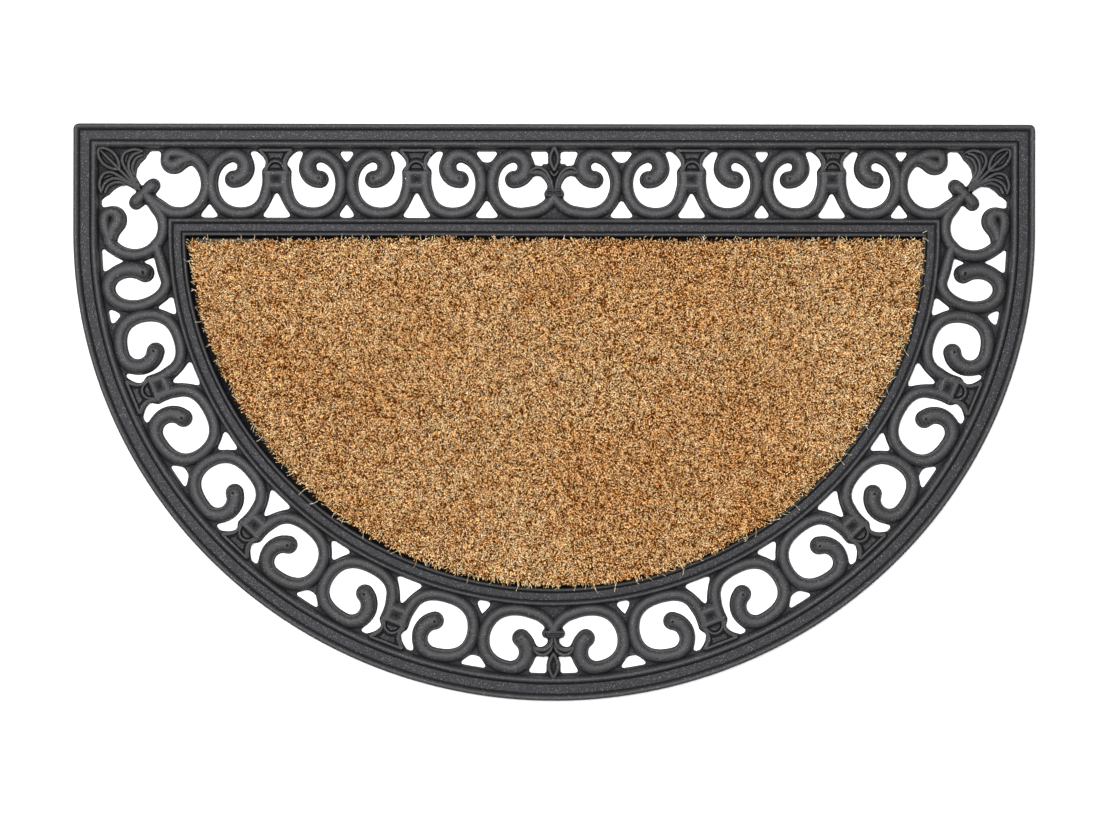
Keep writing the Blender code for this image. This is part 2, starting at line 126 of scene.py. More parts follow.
# The hollow from the ring's middle and the crook's size, in the top band and in the side band
VOLUTE_HOLLOWS = ((-5.4, 18.6, 1.0), (-7.0, 17.2, 1.1))
CORNER_CURL = {"switch": 90.0, "curl_along": 13.4, "curl_rise": 17.5, "end": 225.0, "widen": 1.28,
               "end_widen": 1.47, "fullness": 0.012}
VASE_STEM = 7.4
FLEUR_STEM = 5.2
TOP_FLEUR_TO_TOUCH = 52.7
TOP_STEP = 54.8
CURVE_FLEUR_TO_TOUCH = 59.0
CURVE_STEP = 65.4
TOP_VASES = 2
CURVE_VASES = 3
VOLUTE_ALONG = 62.3
VOLUTE_RADIUS = 22.2
VOLUTE_START = 228.0
CORNER_RING_HALF = 16.0
CORNER_RING_RISE = 4.4
CORNER_RING_START = 270.0
FLEUR_RING_START = 254.0
LAST_RING_CUT = 2.2
VOLUTE_LEAD = ((-25.0, 18.2, 0.62), (-21.0, 14.2, 0.8))
CORNER_LEAD = ((-31.5, 9.8, 0.8), (-21.0, 6.9, 0.95), (-10.5, 5.2, 1.0))
# From the middle of a fleur, and from the axis of a vase: (along, across, width) of the stems
TOP_FLEUR_LEAD = ((-1.2, 18.0, 0.86), (0.6, 15.4, 0.9), (3.4, 11.9, 0.95), (7.6, 8.4, 1.0), (12.6, 5.6, 1.0))
CURVE_FLEUR_LEAD = ((-1.2, 19.6, 0.86), (0.6, 17.0, 0.9), (3.0, 13.4, 0.95), (6.8, 9.9, 1.0),
                    (11.8, 6.9, 1.0))
VASE_LEAD = ((6.8, 36.2, 0.88), (6.6, 30.0, 0.9), (6.8, 25.0, 0.95), (7.8, 20.0, 1.0))
VASE_RING_START = 209.0

# The eye pressed into a rolled end: (radius, height from the crest), and for each kind of scroll its
# size across, its depth, the length of its tail and how far back from the end it lies
EYE_SECTION = ((0.0, -1.0), (0.35, -0.85), (0.8, -0.3), (1.5, 0.12), (2.3, 0.5), (2.3, 1.5), (0.0, 1.5))
EYE_TAIL_TURN = 50.0
EYE_SIDES = 16
TOP_EYE = (1.25, 0.9, 0.6, 0.4)
CURVE_EYE = (0.85, 1.7, 1.3, 0.0)
FLEUR_EYE = (0.55, 0.7, 0.6, 0.2)
CORNER_EYE = (0.95, 2.2, 2.2, 0.3)

# A ridge on an ornament: where its walls end, and how high it is for its width
RIDGE_FOOT = 3.6
RIDGE_RISE = 0.9
LEAF_RISE = 0.3

# Ornament lines, as (along, across, half width, top)
VASE_PLATE = ((-13.2, BAND + 1.2), (-12.4, 51.6), (-9.5, 47.2), (-7.9, 43.4), (-8.0, 39.4), (-9.6, 35.6),
              (9.6, 35.6), (8.0, 39.4), (7.9, 43.4), (9.5, 47.2), (12.4, 51.6), (13.2, BAND + 1.2))
VASE_PLATE_TOP = 4.6
VASE_SIDE = ((-12.0, 52.2, 1.2, 7.6), (-9.0, 48.8, 1.25, 7.8), (-7.0, 45.3, 1.25, 7.9),
             (-6.7, 42.2, 1.25, 7.9), (-7.3, 39.2, 1.35, 7.8), (-8.4, 36.6, 1.5, 7.5))
VASE_BROW = ((-11.8, 52.6, 1.25, 7.6), (0.0, 52.3, 1.25, 7.7), (11.8, 52.6, 1.25, 7.6))
VASE_ARCH = ((-6.9, 36.8, 0.9, 7.5), (-6.2, 38.8, 0.95, 7.7), (-5.2, 40.9, 0.95, 7.8), (-3.4, 42.9, 1.0, 7.9),
             (0.0, 44.0, 1.05, 7.9), (3.4, 42.9, 1.0, 7.9), (5.2, 40.9, 0.95, 7.8), (6.2, 38.8, 0.95, 7.7),
             (6.9, 36.8, 0.9, 7.5))
VASE_LID = ((-8.8, 35.0, 1.7, 7.8), (0.0, 34.9, 1.8, 7.9), (8.8, 35.0, 1.7, 7.8))
VASE_MOON_FLOOR = ((-4.4, 38.4), (4.4, 38.4), (3.9, 39.9), (2.3, 41.4), (0.0, 42.0), (-2.3, 41.4),
                   (-3.9, 39.9))
VASE_WINDOW_FLOOR = ((-6.4, 50.6), (6.4, 50.6), (4.6, 45.6), (2.0, 46.6), (-2.0, 46.6), (-4.6, 45.6))
VASE_PAD_TOP = 6.9
VASE_PAD_FOOT = 4.0
VASE_PAD_SHOULDER = 0.5
VASE_BLOCK = ((-6.6, 36.0), (6.6, 36.0), (6.6, 20.4), (-6.6, 20.4))
VASE_WEB = ((-6.6, 36.0), (6.6, 36.0), (6.0, 15.6), (4.7, 15.6), (1.0, 20.0), (-1.0, 20.0), (-4.7, 15.6),
            (-6.0, 15.6))
VASE_BLOCK_STEPS = 25
VASE_STEM_CREST = 5.6
VASE_LID_CREST = 34.9
VASE_SADDLE_CREST = 25.4
VASE_BULGE = 0.17
VASE_UNDER_BULGE = 0.12
VASE_LID_DROP = 0.1
VASE_SADDLE_DROP = 0.2

# A fleur, for the top band and for the curved one
FLEURS = {
    "top": {
        "bud": (36.4, BAND + 1.6, 4.5), "bud_ridge": (37.4, BAND + 0.8, 3.1, 1.35, 7.9),
        "leaf": ((1.8, 20.6, 2.3, 5.2), (2.7, 27.0, 2.2, 5.2), (4.9, 31.8, 2.5, 5.2), (8.2, 35.9, 3.1, 5.2),
                 (12.4, 37.5, 3.4, 5.2), (16.0, 37.0, 3.0, 5.2), (18.2, 35.6, 1.7, 5.2)),
        "ridges": (((1.2, 20.4, 1.15, 7.6), (1.5, 24.4, 1.15, 7.7), (2.2, 27.8, 1.21, 7.7),
                    (3.7, 31.7, 1.26, 7.8), (5.8, 35.4, 1.32, 7.8), (8.8, 38.0, 1.38, 7.8),
                    (12.2, 39.2, 1.38, 7.7), (15.4, 38.6, 1.26, 7.5), (17.8, 36.8, 1.03, 7.2),
                    (18.8, 35.2, 0.69, 7.0)),
                   ((2.9, 20.8, 1.03, 7.0), (3.3, 25.4, 1.09, 7.2), (4.5, 29.2, 1.15, 7.4),
                    (6.5, 32.4, 1.26, 7.6), (8.9, 34.8, 1.38, 7.7), (12.0, 35.9, 1.49, 7.6),
                    (15.2, 35.8, 1.26, 7.4), (17.6, 35.0, 0.8, 7.0))),
        "chevron": ((-2.9, 36.2, 0.8, 7.0), (0.0, 33.0, 0.9, 7.3), (2.9, 36.2, 0.8, 7.0)),
        "fill": ((-8.6, 42.4), (8.6, 42.4), (6.0, 37.0), (2.6, 31.0), (-2.6, 31.0), (-6.0, 37.0)),
        "collar": (19.4, 6.9, 2.9)},
    "curve": {
        "bud": (35.4, BAND + 2.0, 4.9), "bud_ridge": (36.6, BAND + 1.2, 3.4, 1.35, 7.9),
        "leaf": ((1.0, 24.6, 2.1, 5.2), (2.0, 29.6, 2.2, 5.2), (4.4, 33.4, 2.7, 5.2), (8.0, 35.7, 3.1, 5.2),
                 (12.0, 35.7, 2.9, 5.2), (14.8, 33.6, 1.8, 5.2)),
        "ridges": (((1.0, 24.6, 1.15, 7.6), (1.6, 28.8, 1.21, 7.7), (4.0, 32.2, 1.26, 7.8),
                    (7.6, 33.9, 1.32, 7.8), (11.8, 33.8, 1.32, 7.7), (14.6, 32.6, 1.03, 7.3),
                    (15.6, 31.8, 0.69, 7.0)),
                   ((1.0, 31.2, 0.92, 7.2), (2.8, 34.7, 1.26, 7.6), (6.2, 37.3, 1.49, 7.8),
                    (9.8, 37.6, 1.49, 7.8), (13.2, 35.8, 1.26, 7.5), (15.2, 33.2, 0.8, 7.0))),
        "chevron": ((-1.3, 30.6, 0.45, 6.8), (0.0, 29.8, 0.5, 6.8), (1.3, 30.6, 0.45, 6.8)),
        "fill": ((-6.0, 38.6), (6.0, 38.6), (4.0, 33.0), (-4.0, 33.0)),
        "collar": (21.4, 8.4, 2.8)},
}
FLEUR_PLATE_TOP = 4.0
COLLAR_TOP = 8.3
COLLAR_ROUNDING = 1.6
COLLAR_SHOULDER = 0.55
# Steps in from the edge of a collar's top: (width, rise), the last one down into its slot
COLLAR_STEPS = ((0.35, 0.25), (0.45, 0.0), (0.4, -1.6))
FLEUR_WEB = ((-13.5, -1.5), (13.5, -1.5), (4.0, 9.5), (1.0, 15.0), (-1.0, 15.0), (-4.0, 9.5))
FLEUR_WEB_TOP = 3.7

# The palmette, about the corner's diagonal as (aside, reach), half width, top
PALMETTE_LENS = (-0.7, 17.4, 6.9)
PALMETTE_LENS_RIDGE = ((0.0, 0.9, 1.16, 7.4), (1.9, 1.6, 1.22, 7.5), (4.2, 3.8, 1.22, 7.6),
                       (5.6, 7.2, 1.28, 7.6), (5.4, 10.4, 1.28, 7.6), (3.7, 13.6, 1.28, 7.6),
                       (1.3, 16.0, 1.22, 7.6), (0.0, 17.0, 1.04, 7.6))
PALMETTE_VEIN = ((2.2, 5.1, 0.46, 5.6), (2.8, 7.9, 0.64, 6.0), (2.1, 11.0, 0.46, 5.6))
PALMETTE_MIDRIB = ((0.0, 2.5, 0.93, 7.0), (0.0, 6.6, 1.22, 7.6), (0.0, 12.3, 1.28, 7.7),
                   (0.0, 18.9, 1.28, 7.8), (0.0, 25.5, 1.28, 7.8), (0.0, 32.6, 1.28, 7.9))
# The side leaf in the side band, as (along, down) from the corner of the outer rim's inner edge
PALMETTE_LEAF = ((0.0, 32.6), (0.4, 26.0), (2.6, 20.4), (7.0, 17.8), (12.3, 18.1), (17.0, 20.4), (22.7, 23.2),
                 (29.3, 26.5), (33.2, 33.2), (29.6, 33.0), (26.6, 30.8), (21.4, 28.2), (15.4, 29.4),
                 (11.0, 32.2), (7.6, 35.6), (3.0, 37.2))
PALMETTE_LEAF_TOP = 4.2
PALMETTE_LEAF_RIDGES = (
    ((2.8, 34.6, 1.06, 7.0), (1.4, 30.2, 1.24, 7.4), (1.8, 26.1, 1.3, 7.6), (3.8, 21.5, 1.3, 7.7),
     (7.6, 19.3, 1.3, 7.7), (11.9, 19.6, 1.3, 7.7), (16.2, 21.7, 1.3, 7.7), (20.8, 24.6, 1.24, 7.7),
     (26.5, 28.5, 1.18, 7.7), (30.2, 32.5, 1.06, 7.6)),
    ((3.7, 32.9, 0.94, 7.0), (4.8, 29.0, 1.3, 7.4), (8.1, 25.8, 1.36, 7.6), (12.5, 24.1, 1.36, 7.6),
     (17.6, 24.6, 1.3, 7.6), (21.9, 26.7, 1.18, 7.5), (26.1, 29.5, 0.94, 7.2)),
    ((5.7, 34.6, 0.83, 6.6), (7.8, 30.2, 1.18, 6.9), (11.9, 27.6, 1.24, 7.0), (16.4, 26.7, 1.06, 6.9),
     (21.2, 28.2, 0.83, 6.6)),
    ((4.9, 23.6, 0.59, 5.8), (7.9, 22.0, 0.83, 6.1), (11.3, 21.7, 0.59, 5.8)),
)
PALMETTE_COLLAR_AT = 35.4
PALMETTE_COLLAR = ((-6.7, 4.9, 7.8), (-4.4, 5.1, 8.1), (-1.8, 3.9, 8.0), (0.0, 3.4, 8.5), (1.8, 3.9, 8.0),
                   (4.4, 5.1, 8.1), (6.7, 4.9, 7.8))
PALMETTE_WEB = ((-1.2, -1.2), (35.0, -1.2), (25.5, 10.0), (27.0, 27.0), (10.0, 25.5), (-1.2, 35.0))
PALMETTE_WEB_TOP = 3.6

# The low web between the scrolls
TOUCH_WEB = ((-3.4, 14.6), (3.4, 14.6), (2.0, 27.0), (3.8, 43.6), (-3.8, 43.6), (-2.0, 27.0))
LOW_TOUCH_WEB = ((-10.0, 0.2), (0.0, 11.7), (10.0, 0.2), (12.4, 0.2), (9.0, 6.0), (4.0, 17.0), (-4.0, 17.0),
                 (-9.0, 6.0), (-12.4, 0.2))
HIGH_TOUCH_WEB = tuple((along, BAND - across) for along, across in LOW_TOUCH_WEB)
# The touches with a narrower gap on the inner or the outer side: (number, shift along the band)
NARROW_INNER_GAPS = {"top": ((2, 0.0),), "curve": ((1, 0.0),)}
NARROW_OUTER_GAPS = {"top": ((2, 0.0), (3, 0.0)), "curve": ((4, -4.1),)}
CLOSED_GAP = ((-10.5, BAND + 0.6), (10.5, BAND + 0.6), (3.4, 41.0), (-3.4, 41.0))
WEB_STEP = 0.7
WEB_BLEND = 0.9
WEB_WEDGE = 2.8
WEB_FLANGE = 0.8
WEB_PLATE_FLANGE = 0.3
WEB_SLOPE = 0.75
WEB_SLOPE_FOOT = 0.7
WEB_UNDER_OUTER_RIM = 12.0
WEB_UNDER_INNER_RIM = 80.0
# How far from a form its web is worked out, and the bounds that keep the blend within range
WEB_REACH = 9.0
WEB_DEEPEST = -8.0
WEB_BOUNDS = (-20.0, 40.0)
LINE_TOLERANCE = 0.035
SHORTEST_LINE = 12

# The coir insert
COIR_INSET = 89.3
COIR_SHIFT = 1.4
COIR_TOP = 15.0
PIECE_GAP = 0.3
# The bed of packed roots: its own inset, its lumps, and how it falls towards its edge
BED_TOP = 9.8
BED_INSET = 1.4
BED_COLUMNS = 210
BED_ROWS = 90
BED_TIP = 0.9995
BED_LUMPS = (3.0, 7.0)
BED_LUMP_RISE = 1.3
BED_EDGE_WIDTH = 4.0
BED_EDGE_DROP = 3.0
BED_NARROWEST = 0.5
# The pile's fibres: their lattice, how far each strays from it, and their half widths
FIBRE_SPACING = 0.812
FIBRE_JITTER = 0.6
FIBRE_HALF = (0.21, 0.42)
PILE_ROWS = (-140.0, 137.0)
PILE_PIECES = 4
# Where the pile is bare at its ragged edge and between tufts
RAGGED_EDGE = (0.3, 0.9)
BARE_ABOVE = 0.87
# How fibres lean, at random and outwards within this width of the edge, and how low their tips are
LEAN_LIMITS = (0.2, 4.6)
EDGE_WIDTH = 3.5
EDGE_PUSH = 0.9
EDGE_DROP = 1.6
TIP_DROP = 0.35
TUFT_DROP = 1.9
TIP_CLEARANCE = 0.3
EDGE_STIFFENS = 0.45
# How deep the roots lie in the bed, there and at the edge, and the least length of a fibre's rise
ROOT_DEPTH = 1.2
EDGE_ROOT_DEPTH = 3.5
LEAST_RISE = 3.0
# The tones of fibres: the share of dark ones and their range, the mean and spread of the others, and
# how much paler a tuft is than the hollow beside it, as painted light on the tufts and painted shade in the
# hollows
DARK_SHARE = 0.27
DARK_TONES = (0.0, 0.25)
PALE_TONES = (0.72, 0.22)
TUFT_LIGHT_AND_SHADE = 0.2
# The stray fibres: rows along each, share at the straight edge, and how they lie
STRAY_FIBRES = 260
STRAY_ROWS = 7
STRAY_AT_STRAIGHT = 0.22
STRAY_SPREAD = 0.8
STRAY_BEND = 0.14
SHORTEST_STRAY = 2.0
LONGEST_STRAY = 9.0
LONGEST_AT_STRAIGHT = 4.2
STRAY_HEIGHT = (10.4, 13.2)
STRAY_FALL = (-0.25, 0.15)
STRAY_HALF = (0.12, 0.2)
# How far in from the pile's edge strays start, on the curve and at the straight edge and its ends
CURVE_STRAY_IN = 1.2
STRAIGHT_STRAY_IN = 2.0
STRAIGHT_ENDS_IN = 4.0
# The sizes of the pile's unevenness: its ragged edge, its bare spots, its whorls and its tufts
RAGGED_SIZE = 5.0
BARE_SIZE = 1.9
WHORL_SIZE = 9.0
TUFT_SIZES = (4.0, 11.0)
BACKING_STRIP = ((-282.0, 131.0, 2.8), (-232.0, 134.7, 7.6))
SEED = 11

# Where the pile stops short of its cut line: by angle about the curve's middle from straight down,
# and by place along the straight edge
CURVED_EDGE = ((-90.0, -86.0, -80.0, -74.0, -66.0, -58.0, -52.0, -46.0, -36.0, -20.0, -8.0, 6.0, 14.0, 90.0),
               (0.2, 0.8, 1.3, 2.2, 3.2, 4.0, 3.0, 2.2, 1.8, 1.2, 0.6, 0.3, 0.0, 0.0))
STRAIGHT_EDGE = ((-286.0, -215.0, -170.0, -120.0, -60.0, 30.0, 100.0, 285.0),
                 (2.1, 1.8, 1.0, 0.4, 0.6, 1.3, 1.1, 0.7))


# The outline and the band

def curve_xy(angle, inset):
    """Points on the curved edge, `inset` inwards; angle 0 is the right end, pi the left."""
    c, s = np.cos(angle), np.sin(angle)
    nx, ny = c / HALF_WIDTH, -s / CURVE_DEPTH
    size = np.hypot(nx, ny)
    return HALF_WIDTH * c - inset * nx / size, CURVE_Y - CURVE_DEPTH * s - inset * ny / size


def outline(inset):
    """The closed D-shaped line at one distance in from the outer edge, as rows of (x, y)."""
    radius = max(CORNER_RADIUS - inset, SHARP_RADIUS)
    x, y = HALF_WIDTH - inset - radius, BACK_Y - inset - radius
    turn = np.linspace(0.0, np.pi / 2, CORNER_STATIONS)
    right = np.stack((x + radius * np.cos(turn), y + radius * np.sin(turn)), 1)
    left = np.stack((-right[::-1, 0], right[::-1, 1]), 1)
    share = np.linspace(0.0, 1.0, TOP_STATIONS)[1:-1, None]
    top = right[-1] * (1 - share) + left[0] * share
    first = math.asin(max(CURVE_Y - y, 0.0) / (CURVE_DEPTH - inset))
    angle = np.linspace(math.pi - first, first, CURVE_STATIONS)
    curve = np.stack(curve_xy(angle, inset), 1)
    share = np.linspace(0.0, 1.0, SIDE_STATIONS)[1:-1, None]
    down = left[-1] * (1 - share) + curve[0] * share
    up = curve[-1] * (1 - share) + right[0] * share
    return np.concatenate((right, top, left, down, curve, up))


def curve_inset(x, y):
    """How far in from the curved outer edge each point lies."""
    px, py = np.abs(x), np.maximum(CURVE_Y - y, 0.0)
    a, b = HALF_WIDTH, CURVE_DEPTH
    tx = ty = np.full(np.shape(px), math.sqrt(0.5))
    for _ in range(4):
        ex, ey = (a * a - b * b) * tx ** 3 / a, (b * b - a * a) * ty ** 3 / b
        reach = np.hypot(a * tx - ex, b * ty - ey) / np.maximum(np.hypot(px - ex, py - ey), 1e-6)
        tx = np.clip(((px - ex) * reach + ex) / a, 0.0, 1.0)
        ty = np.clip(((py - ey) * reach + ey) / b, 0.0, 1.0)
        size = np.hypot(tx, ty)
        tx, ty = tx / size, ty / size
    return np.hypot(a * tx - px, b * ty - py) * np.where(np.hypot(px / a, py / b) < 1.0, 1.0, -1.0)


def inset_of(x, y):
    """How far in from the outer edge each point lies."""
    return np.minimum(curve_inset(x, y), BACK_Y - y)


CURVE_ANGLES = np.linspace(np.pi / 2, 0.0, 1201)
CURVE_LENGTHS = np.concatenate(([0.0], np.cumsum(np.hypot(*np.diff(curve_xy(CURVE_ANGLES, BAND_MIDDLE))))))
CURVE_HALF = CURVE_LENGTHS[-1]


def on_top(along, across):
    """Top band: `along` from the middle, `across` up from the inner rim."""
    return along, BACK_Y - INNER_RIM_EDGE + across


def on_curve(along, across):
    """Curved band: `along` its middle line from the bottom centre, `across` from the inner rim."""
    reach = np.abs(along)
    x, y = curve_xy(np.interp(reach, CURVE_LENGTHS, CURVE_ANGLES), INNER_RIM_EDGE - across)
    return np.where(along < 0, -x, x), y + np.maximum(reach - CURVE_HALF, 0.0)


def on_corner(side, swap):
    """A corner: `along` from the outer rim's corner and `across` as in the top band.

    With swap the form lies in the side band, mirrored in the corner's diagonal."""
    def place(along, across):
        down = BAND - across
        if swap:
            along, down = down, along
        return side * (HALF_WIDTH - OUTER_RIM - along), BACK_Y - OUTER_RIM - down
    return place


def touch_along(number, first, step):
    """Where ring pair `number` (from 1) touches, along the band."""
    return first + 2 * step * (number - 1)


# Modelling

def only(thing):
    """Makes one object the selected and active one."""
    bpy.ops.object.select_all(action='DESELECT')
    thing.select_set(True)
    bpy.context.view_layer.objects.active = thing


def edit_all(thing):
    """Edit mode with everything selected."""
    only(thing)
    bpy.ops.object.mode_set(mode='EDIT')
    bpy.ops.mesh.select_all(action='SELECT')


def points_of(thing):
    flat = np.empty(len(thing.data.vertices) * 3)
    thing.data.vertices.foreach_get("co", flat)
    return flat.reshape(-1, 3) / MM


def set_points(thing, points):
    thing.data.vertices.foreach_set("co", (points * MM).ravel())
    thing.data.update()


def shaped_grid(name, spots, fill=True):
    """A grid primitive whose points are laid on spots[row, column] = (x, y, z), merged and closed."""
    rows, columns = spots.shape[:2]
    bpy.ops.object.select_all(action='DESELECT')
    bpy.ops.mesh.primitive_grid_add(x_subdivisions=columns - 1, y_subdivisions=rows - 1, size=1.0)
    made = bpy.context.object
    made.name = made.data.name = name
    flat = points_of(made) * MM
    column = np.rint((flat[:, 0] + 0.5) * (columns - 1)).astype(int)
    row = np.rint((flat[:, 1] + 0.5) * (rows - 1)).astype(int)
    set_points(made, spots[row, column])
    edit_all(made)
    bpy.ops.mesh.remove_doubles(threshold=MERGE_REACH)
    if fill:
        bpy.ops.mesh.select_all(action='SELECT')
        bpy.ops.mesh.fill_holes(sides=0)
    bpy.ops.object.mode_set(mode='OBJECT')
    return made


def joined(name, pieces):
    """Several meshes as one object, its faces turned outwards and its crisp edges kept."""
    only(pieces[0])
    for piece in pieces:
        piece.select_set(True)
    if len(pieces) > 1:
        bpy.ops.object.join()
    made = bpy.context.object
    made.name = made.data.name = name
    edit_all(made)
    bpy.ops.mesh.normals_make_consistent(inside=False)
    bpy.ops.object.mode_set(mode='OBJECT')
    bpy.ops.object.shade_smooth_by_angle(angle=math.radians(CRISP_ANGLE))
    return made


def through(points, steps):
    """A smooth line through the points; every column is blended in the same way."""
    points = np.asarray(points, float)
    padded = np.concatenate((2 * points[:1] - points[1:2], points, 2 * points[-1:] - points[-2:-1]))
    share = np.linspace(0.0, 1.0, steps, endpoint=False)[:, None]
    line = []
    for before, a, b, after in zip(padded, padded[1:], padded[2:], padded[3:]):
        line.append(a + 0.5 * share * (b - before + share * (2 * before - 5 * a + 4 * b - after
                                                             + share * (3 * (a - b) + after - before))))
    return np.concatenate(line + [points[-1:]])


def bar(name, line, rise=TUBE_RISE, foot=TUBE_FOOT, arc=8, start_round=False, end_round=True,
        reach=END_REACH):
    """A half-round bar along a line of (along, across, half width, top), in band coordinates."""
    line = np.asarray(line, float)
    if end_round:
        line = np.concatenate((line, end_rows(line, rise, reach)))
    if start_round:
        line = np.concatenate((end_rows(line[::-1], rise, reach)[::-1], line))
    heading = np.gradient(line[:, :2], axis=0)
    heading /= np.maximum(np.hypot(heading[:, 0], heading[:, 1]), 1e-9)[:, None]
    turn = np.linspace(np.pi, 0.0, arc + 1)
    aside = np.cos(turn)
    share = np.concatenate(([-1.0], aside, [1.0, -1.0]))
    rounded = np.maximum(1.0 - np.abs(aside) ** TUBE_SQUARENESS, 0.0) ** (1.0 / TUBE_SQUARENESS)
    lift = np.concatenate(([0.0], rounded, [0.0, 0.0]))
    half, top = line[:, 2:3], line[:, 3:4]
    x = line[:, 0:1] - heading[:, 1:2] * half * share
    y = line[:, 1:2] + heading[:, 0:1] * half * share
    z = top - rise * half * (1.0 - lift)
    z[:, (0, -2, -1)] = foot
    return shaped_grid(name, np.stack((x, y, z), 2))


def end_rows(line, rise, reach):
    """Rows that close a bar with a rounded end; its crest falls to the top of its walls."""
    way = line[-1, :2] - line[-2, :2]
    way = way / np.hypot(*way)
    half, top = line[-1, 2], line[-1, 3]
    rows = []
    for turn in np.radians(END_TURNS):
        spot = line[-1, :2] + way * half * reach * math.sin(turn) ** END_BLUNTNESS
        width = half * math.cos(turn) ** END_NARROWING if turn < 1.57 else 0.0
        rows.append((*spot, width, top - rise * (half - width)))
    return np.array(rows)


def plate(name, edge, top, foot=TUBE_FOOT, shoulder=0.4):
    """A flat plate with the given edge, made from a filled circle that is raised and inset."""
    edge = np.asarray(edge, float)
    bpy.ops.object.select_all(action='DESELECT')
    bpy.ops.mesh.primitive_circle_add(vertices=len(edge), radius=1.0, fill_type='NGON')
    made = bpy.context.object
    made.name = made.data.name = name
    set_points(made, np.column_stack((edge, np.full(len(edge), foot))))
    edit_all(made)
    bpy.ops.mesh.extrude_region_move(TRANSFORM_OT_translate={"value": (0.0, 0.0,
                                                                       (top - shoulder - foot) * MM)})
    if shoulder:
        bpy.ops.mesh.inset(thickness=shoulder * MM, depth=shoulder * MM)
    bpy.ops.object.mode_set(mode='OBJECT')
    return made


def lens_edge(low, high, half, steps=7):
    """A pointed oval as (along, across), from its low point round to its low point."""
    share = np.linspace(0.0, 1.0, steps)
    wide = half * np.sin(np.pi * share)
    across = low + (high - low) * share
    right = np.column_stack((wide, across))
    left = np.column_stack((-wide, across))[-2:0:-1]
    return np.concatenate((right, left))


def lens_side(low, high, half, ridge, top, turn, steps=9):
    """One side of a pointed oval as a ridge line."""
    share = np.linspace(0.0, 1.0, steps)
    line = np.column_stack((turn * half * np.sin(np.pi * share), low + (high - low) * share))
    return np.column_stack((line, np.full(steps, ridge), np.full(steps, top)))


def mirrored(line):
    """The same line on the other side of the form's middle."""
    return [(-spot[0], *spot[1:]) for spot in line]


def laid(form, name, place, shift=0.0, mirror=False):
    """A copy of a form, with its own mesh, bent from band coordinates onto the mat."""
    made = form.copy()
    made.data = form.data.copy()
    made.name = made.data.name = name
    bpy.context.collection.objects.link(made)
    points = points_of(made)
    x, y = place(shift + (-points[:, 0] if mirror else points[:, 0]), points[:, 1])
    set_points(made, np.column_stack((x, y, points[:, 2])))
    return made


def clear(*forms):
    for form in forms:
        bpy.data.objects.remove(form, do_unlink=True)


# The finishes

def colour(red, green, blue):
    """A colour given as it looks on screen, 0 to 255, made linear."""
    parts = [c / 255 for c in (red, green, blue)]
    return tuple(c / 12.92 if c <= 0.04045 else ((c + 0.055) / 1.055) ** 2.4 for c in parts) + (1.0,)


def feed(tree, target, values):
    """Gives a node's inputs a constant, a node's first output, or the output named in (node, name)."""
    for key, value in values.items():
        if isinstance(value, bpy.types.Node):
            value = (value, 0)
        if isinstance(value, tuple) and isinstance(value[0], bpy.types.Node):
            tree.links.new(value[0].outputs[value[1]], target.inputs[key])
        else:
            target.inputs[key].default_value = value


def node(tree, kind, values=None, **settings):
    """A shader node with its settings, and what feeds its numbered or named inputs."""
    made = tree.nodes.new(kind)
    for key, value in settings.items():
        setattr(made, key, value)
    feed(tree, made, values or {})
    return made


def on_object(tree):
    """Object coordinates, in metres."""
    return node(tree, 'ShaderNodeTexCoord'), "Object"


def maths(tree, operation, first, second):
    return node(tree, 'ShaderNodeMath', {0: first, 1: second}, operation=operation)


def span(tree, value, low, high, to_low=0.0, to_high=1.0):
    """A value stretched from one range to another, and kept within it."""
    return node(tree, 'ShaderNodeMapRange', {"Value": value, "From Min": low, "From Max": high,
                                             "To Min": to_low, "To Max": to_high})


def mixed(tree, share, first, second, blend='MIX'):
    """A mix of two colours, as a (node, output) pair."""
    values = {"Factor": share, "A": first, "B": second}
    return node(tree, 'ShaderNodeMix', values, data_type='RGBA', blend_type=blend), "Result"


def ramp(tree, value, stops):
    """A colour ramp over a value, with (place, colour) stops."""
    made = node(tree, 'ShaderNodeValToRGB', {0: value})
    band = made.color_ramp
    band.elements[0].position, band.elements[0].color = stops[0]
    band.elements[1].position, band.elements[1].color = stops[-1]
    for place, shade in stops[1:-1]:
        band.elements.new(place).color = shade
    return made


def group(name, inputs, outputs):
    """An empty shader node group with named inputs (with defaults) and outputs."""
    made = bpy.data.node_groups.new(name, 'ShaderNodeTree')
    for label, value in inputs.items():
        socket = made.interface.new_socket(label, in_out='INPUT', socket_type='NodeSocketFloat')
        socket.default_value = value
    for label in outputs:
        made.interface.new_socket(label, in_out='OUTPUT', socket_type='NodeSocketFloat')
    return made, made.nodes.new('NodeGroupInput'), made.nodes.new('NodeGroupOutput')


def dust_group():
    """Sparse pale specks: a mask that is 1 in a few small spots."""
    tree, given, put = group("dust specks", {"Scale": 300.0, "Rarity": 0.9, "Size": 0.3}, ("Mask",))
    cells = node(tree, 'ShaderNodeTexVoronoi', {"Vector": on_object(tree), "Scale": (given, "Scale"),
                                                "Randomness": 1.0})
    pick = node(tree, 'ShaderNodeSeparateColor', {0: (cells, "Color")})
    rare = maths(tree, 'GREATER_THAN', pick, (given, "Rarity"))
    small = maths(tree, 'LESS_THAN', (cells, "Distance"), (given, "Size"))
    feed(tree, put, {"Mask": maths(tree, 'MULTIPLY', rare, small)})
    return tree


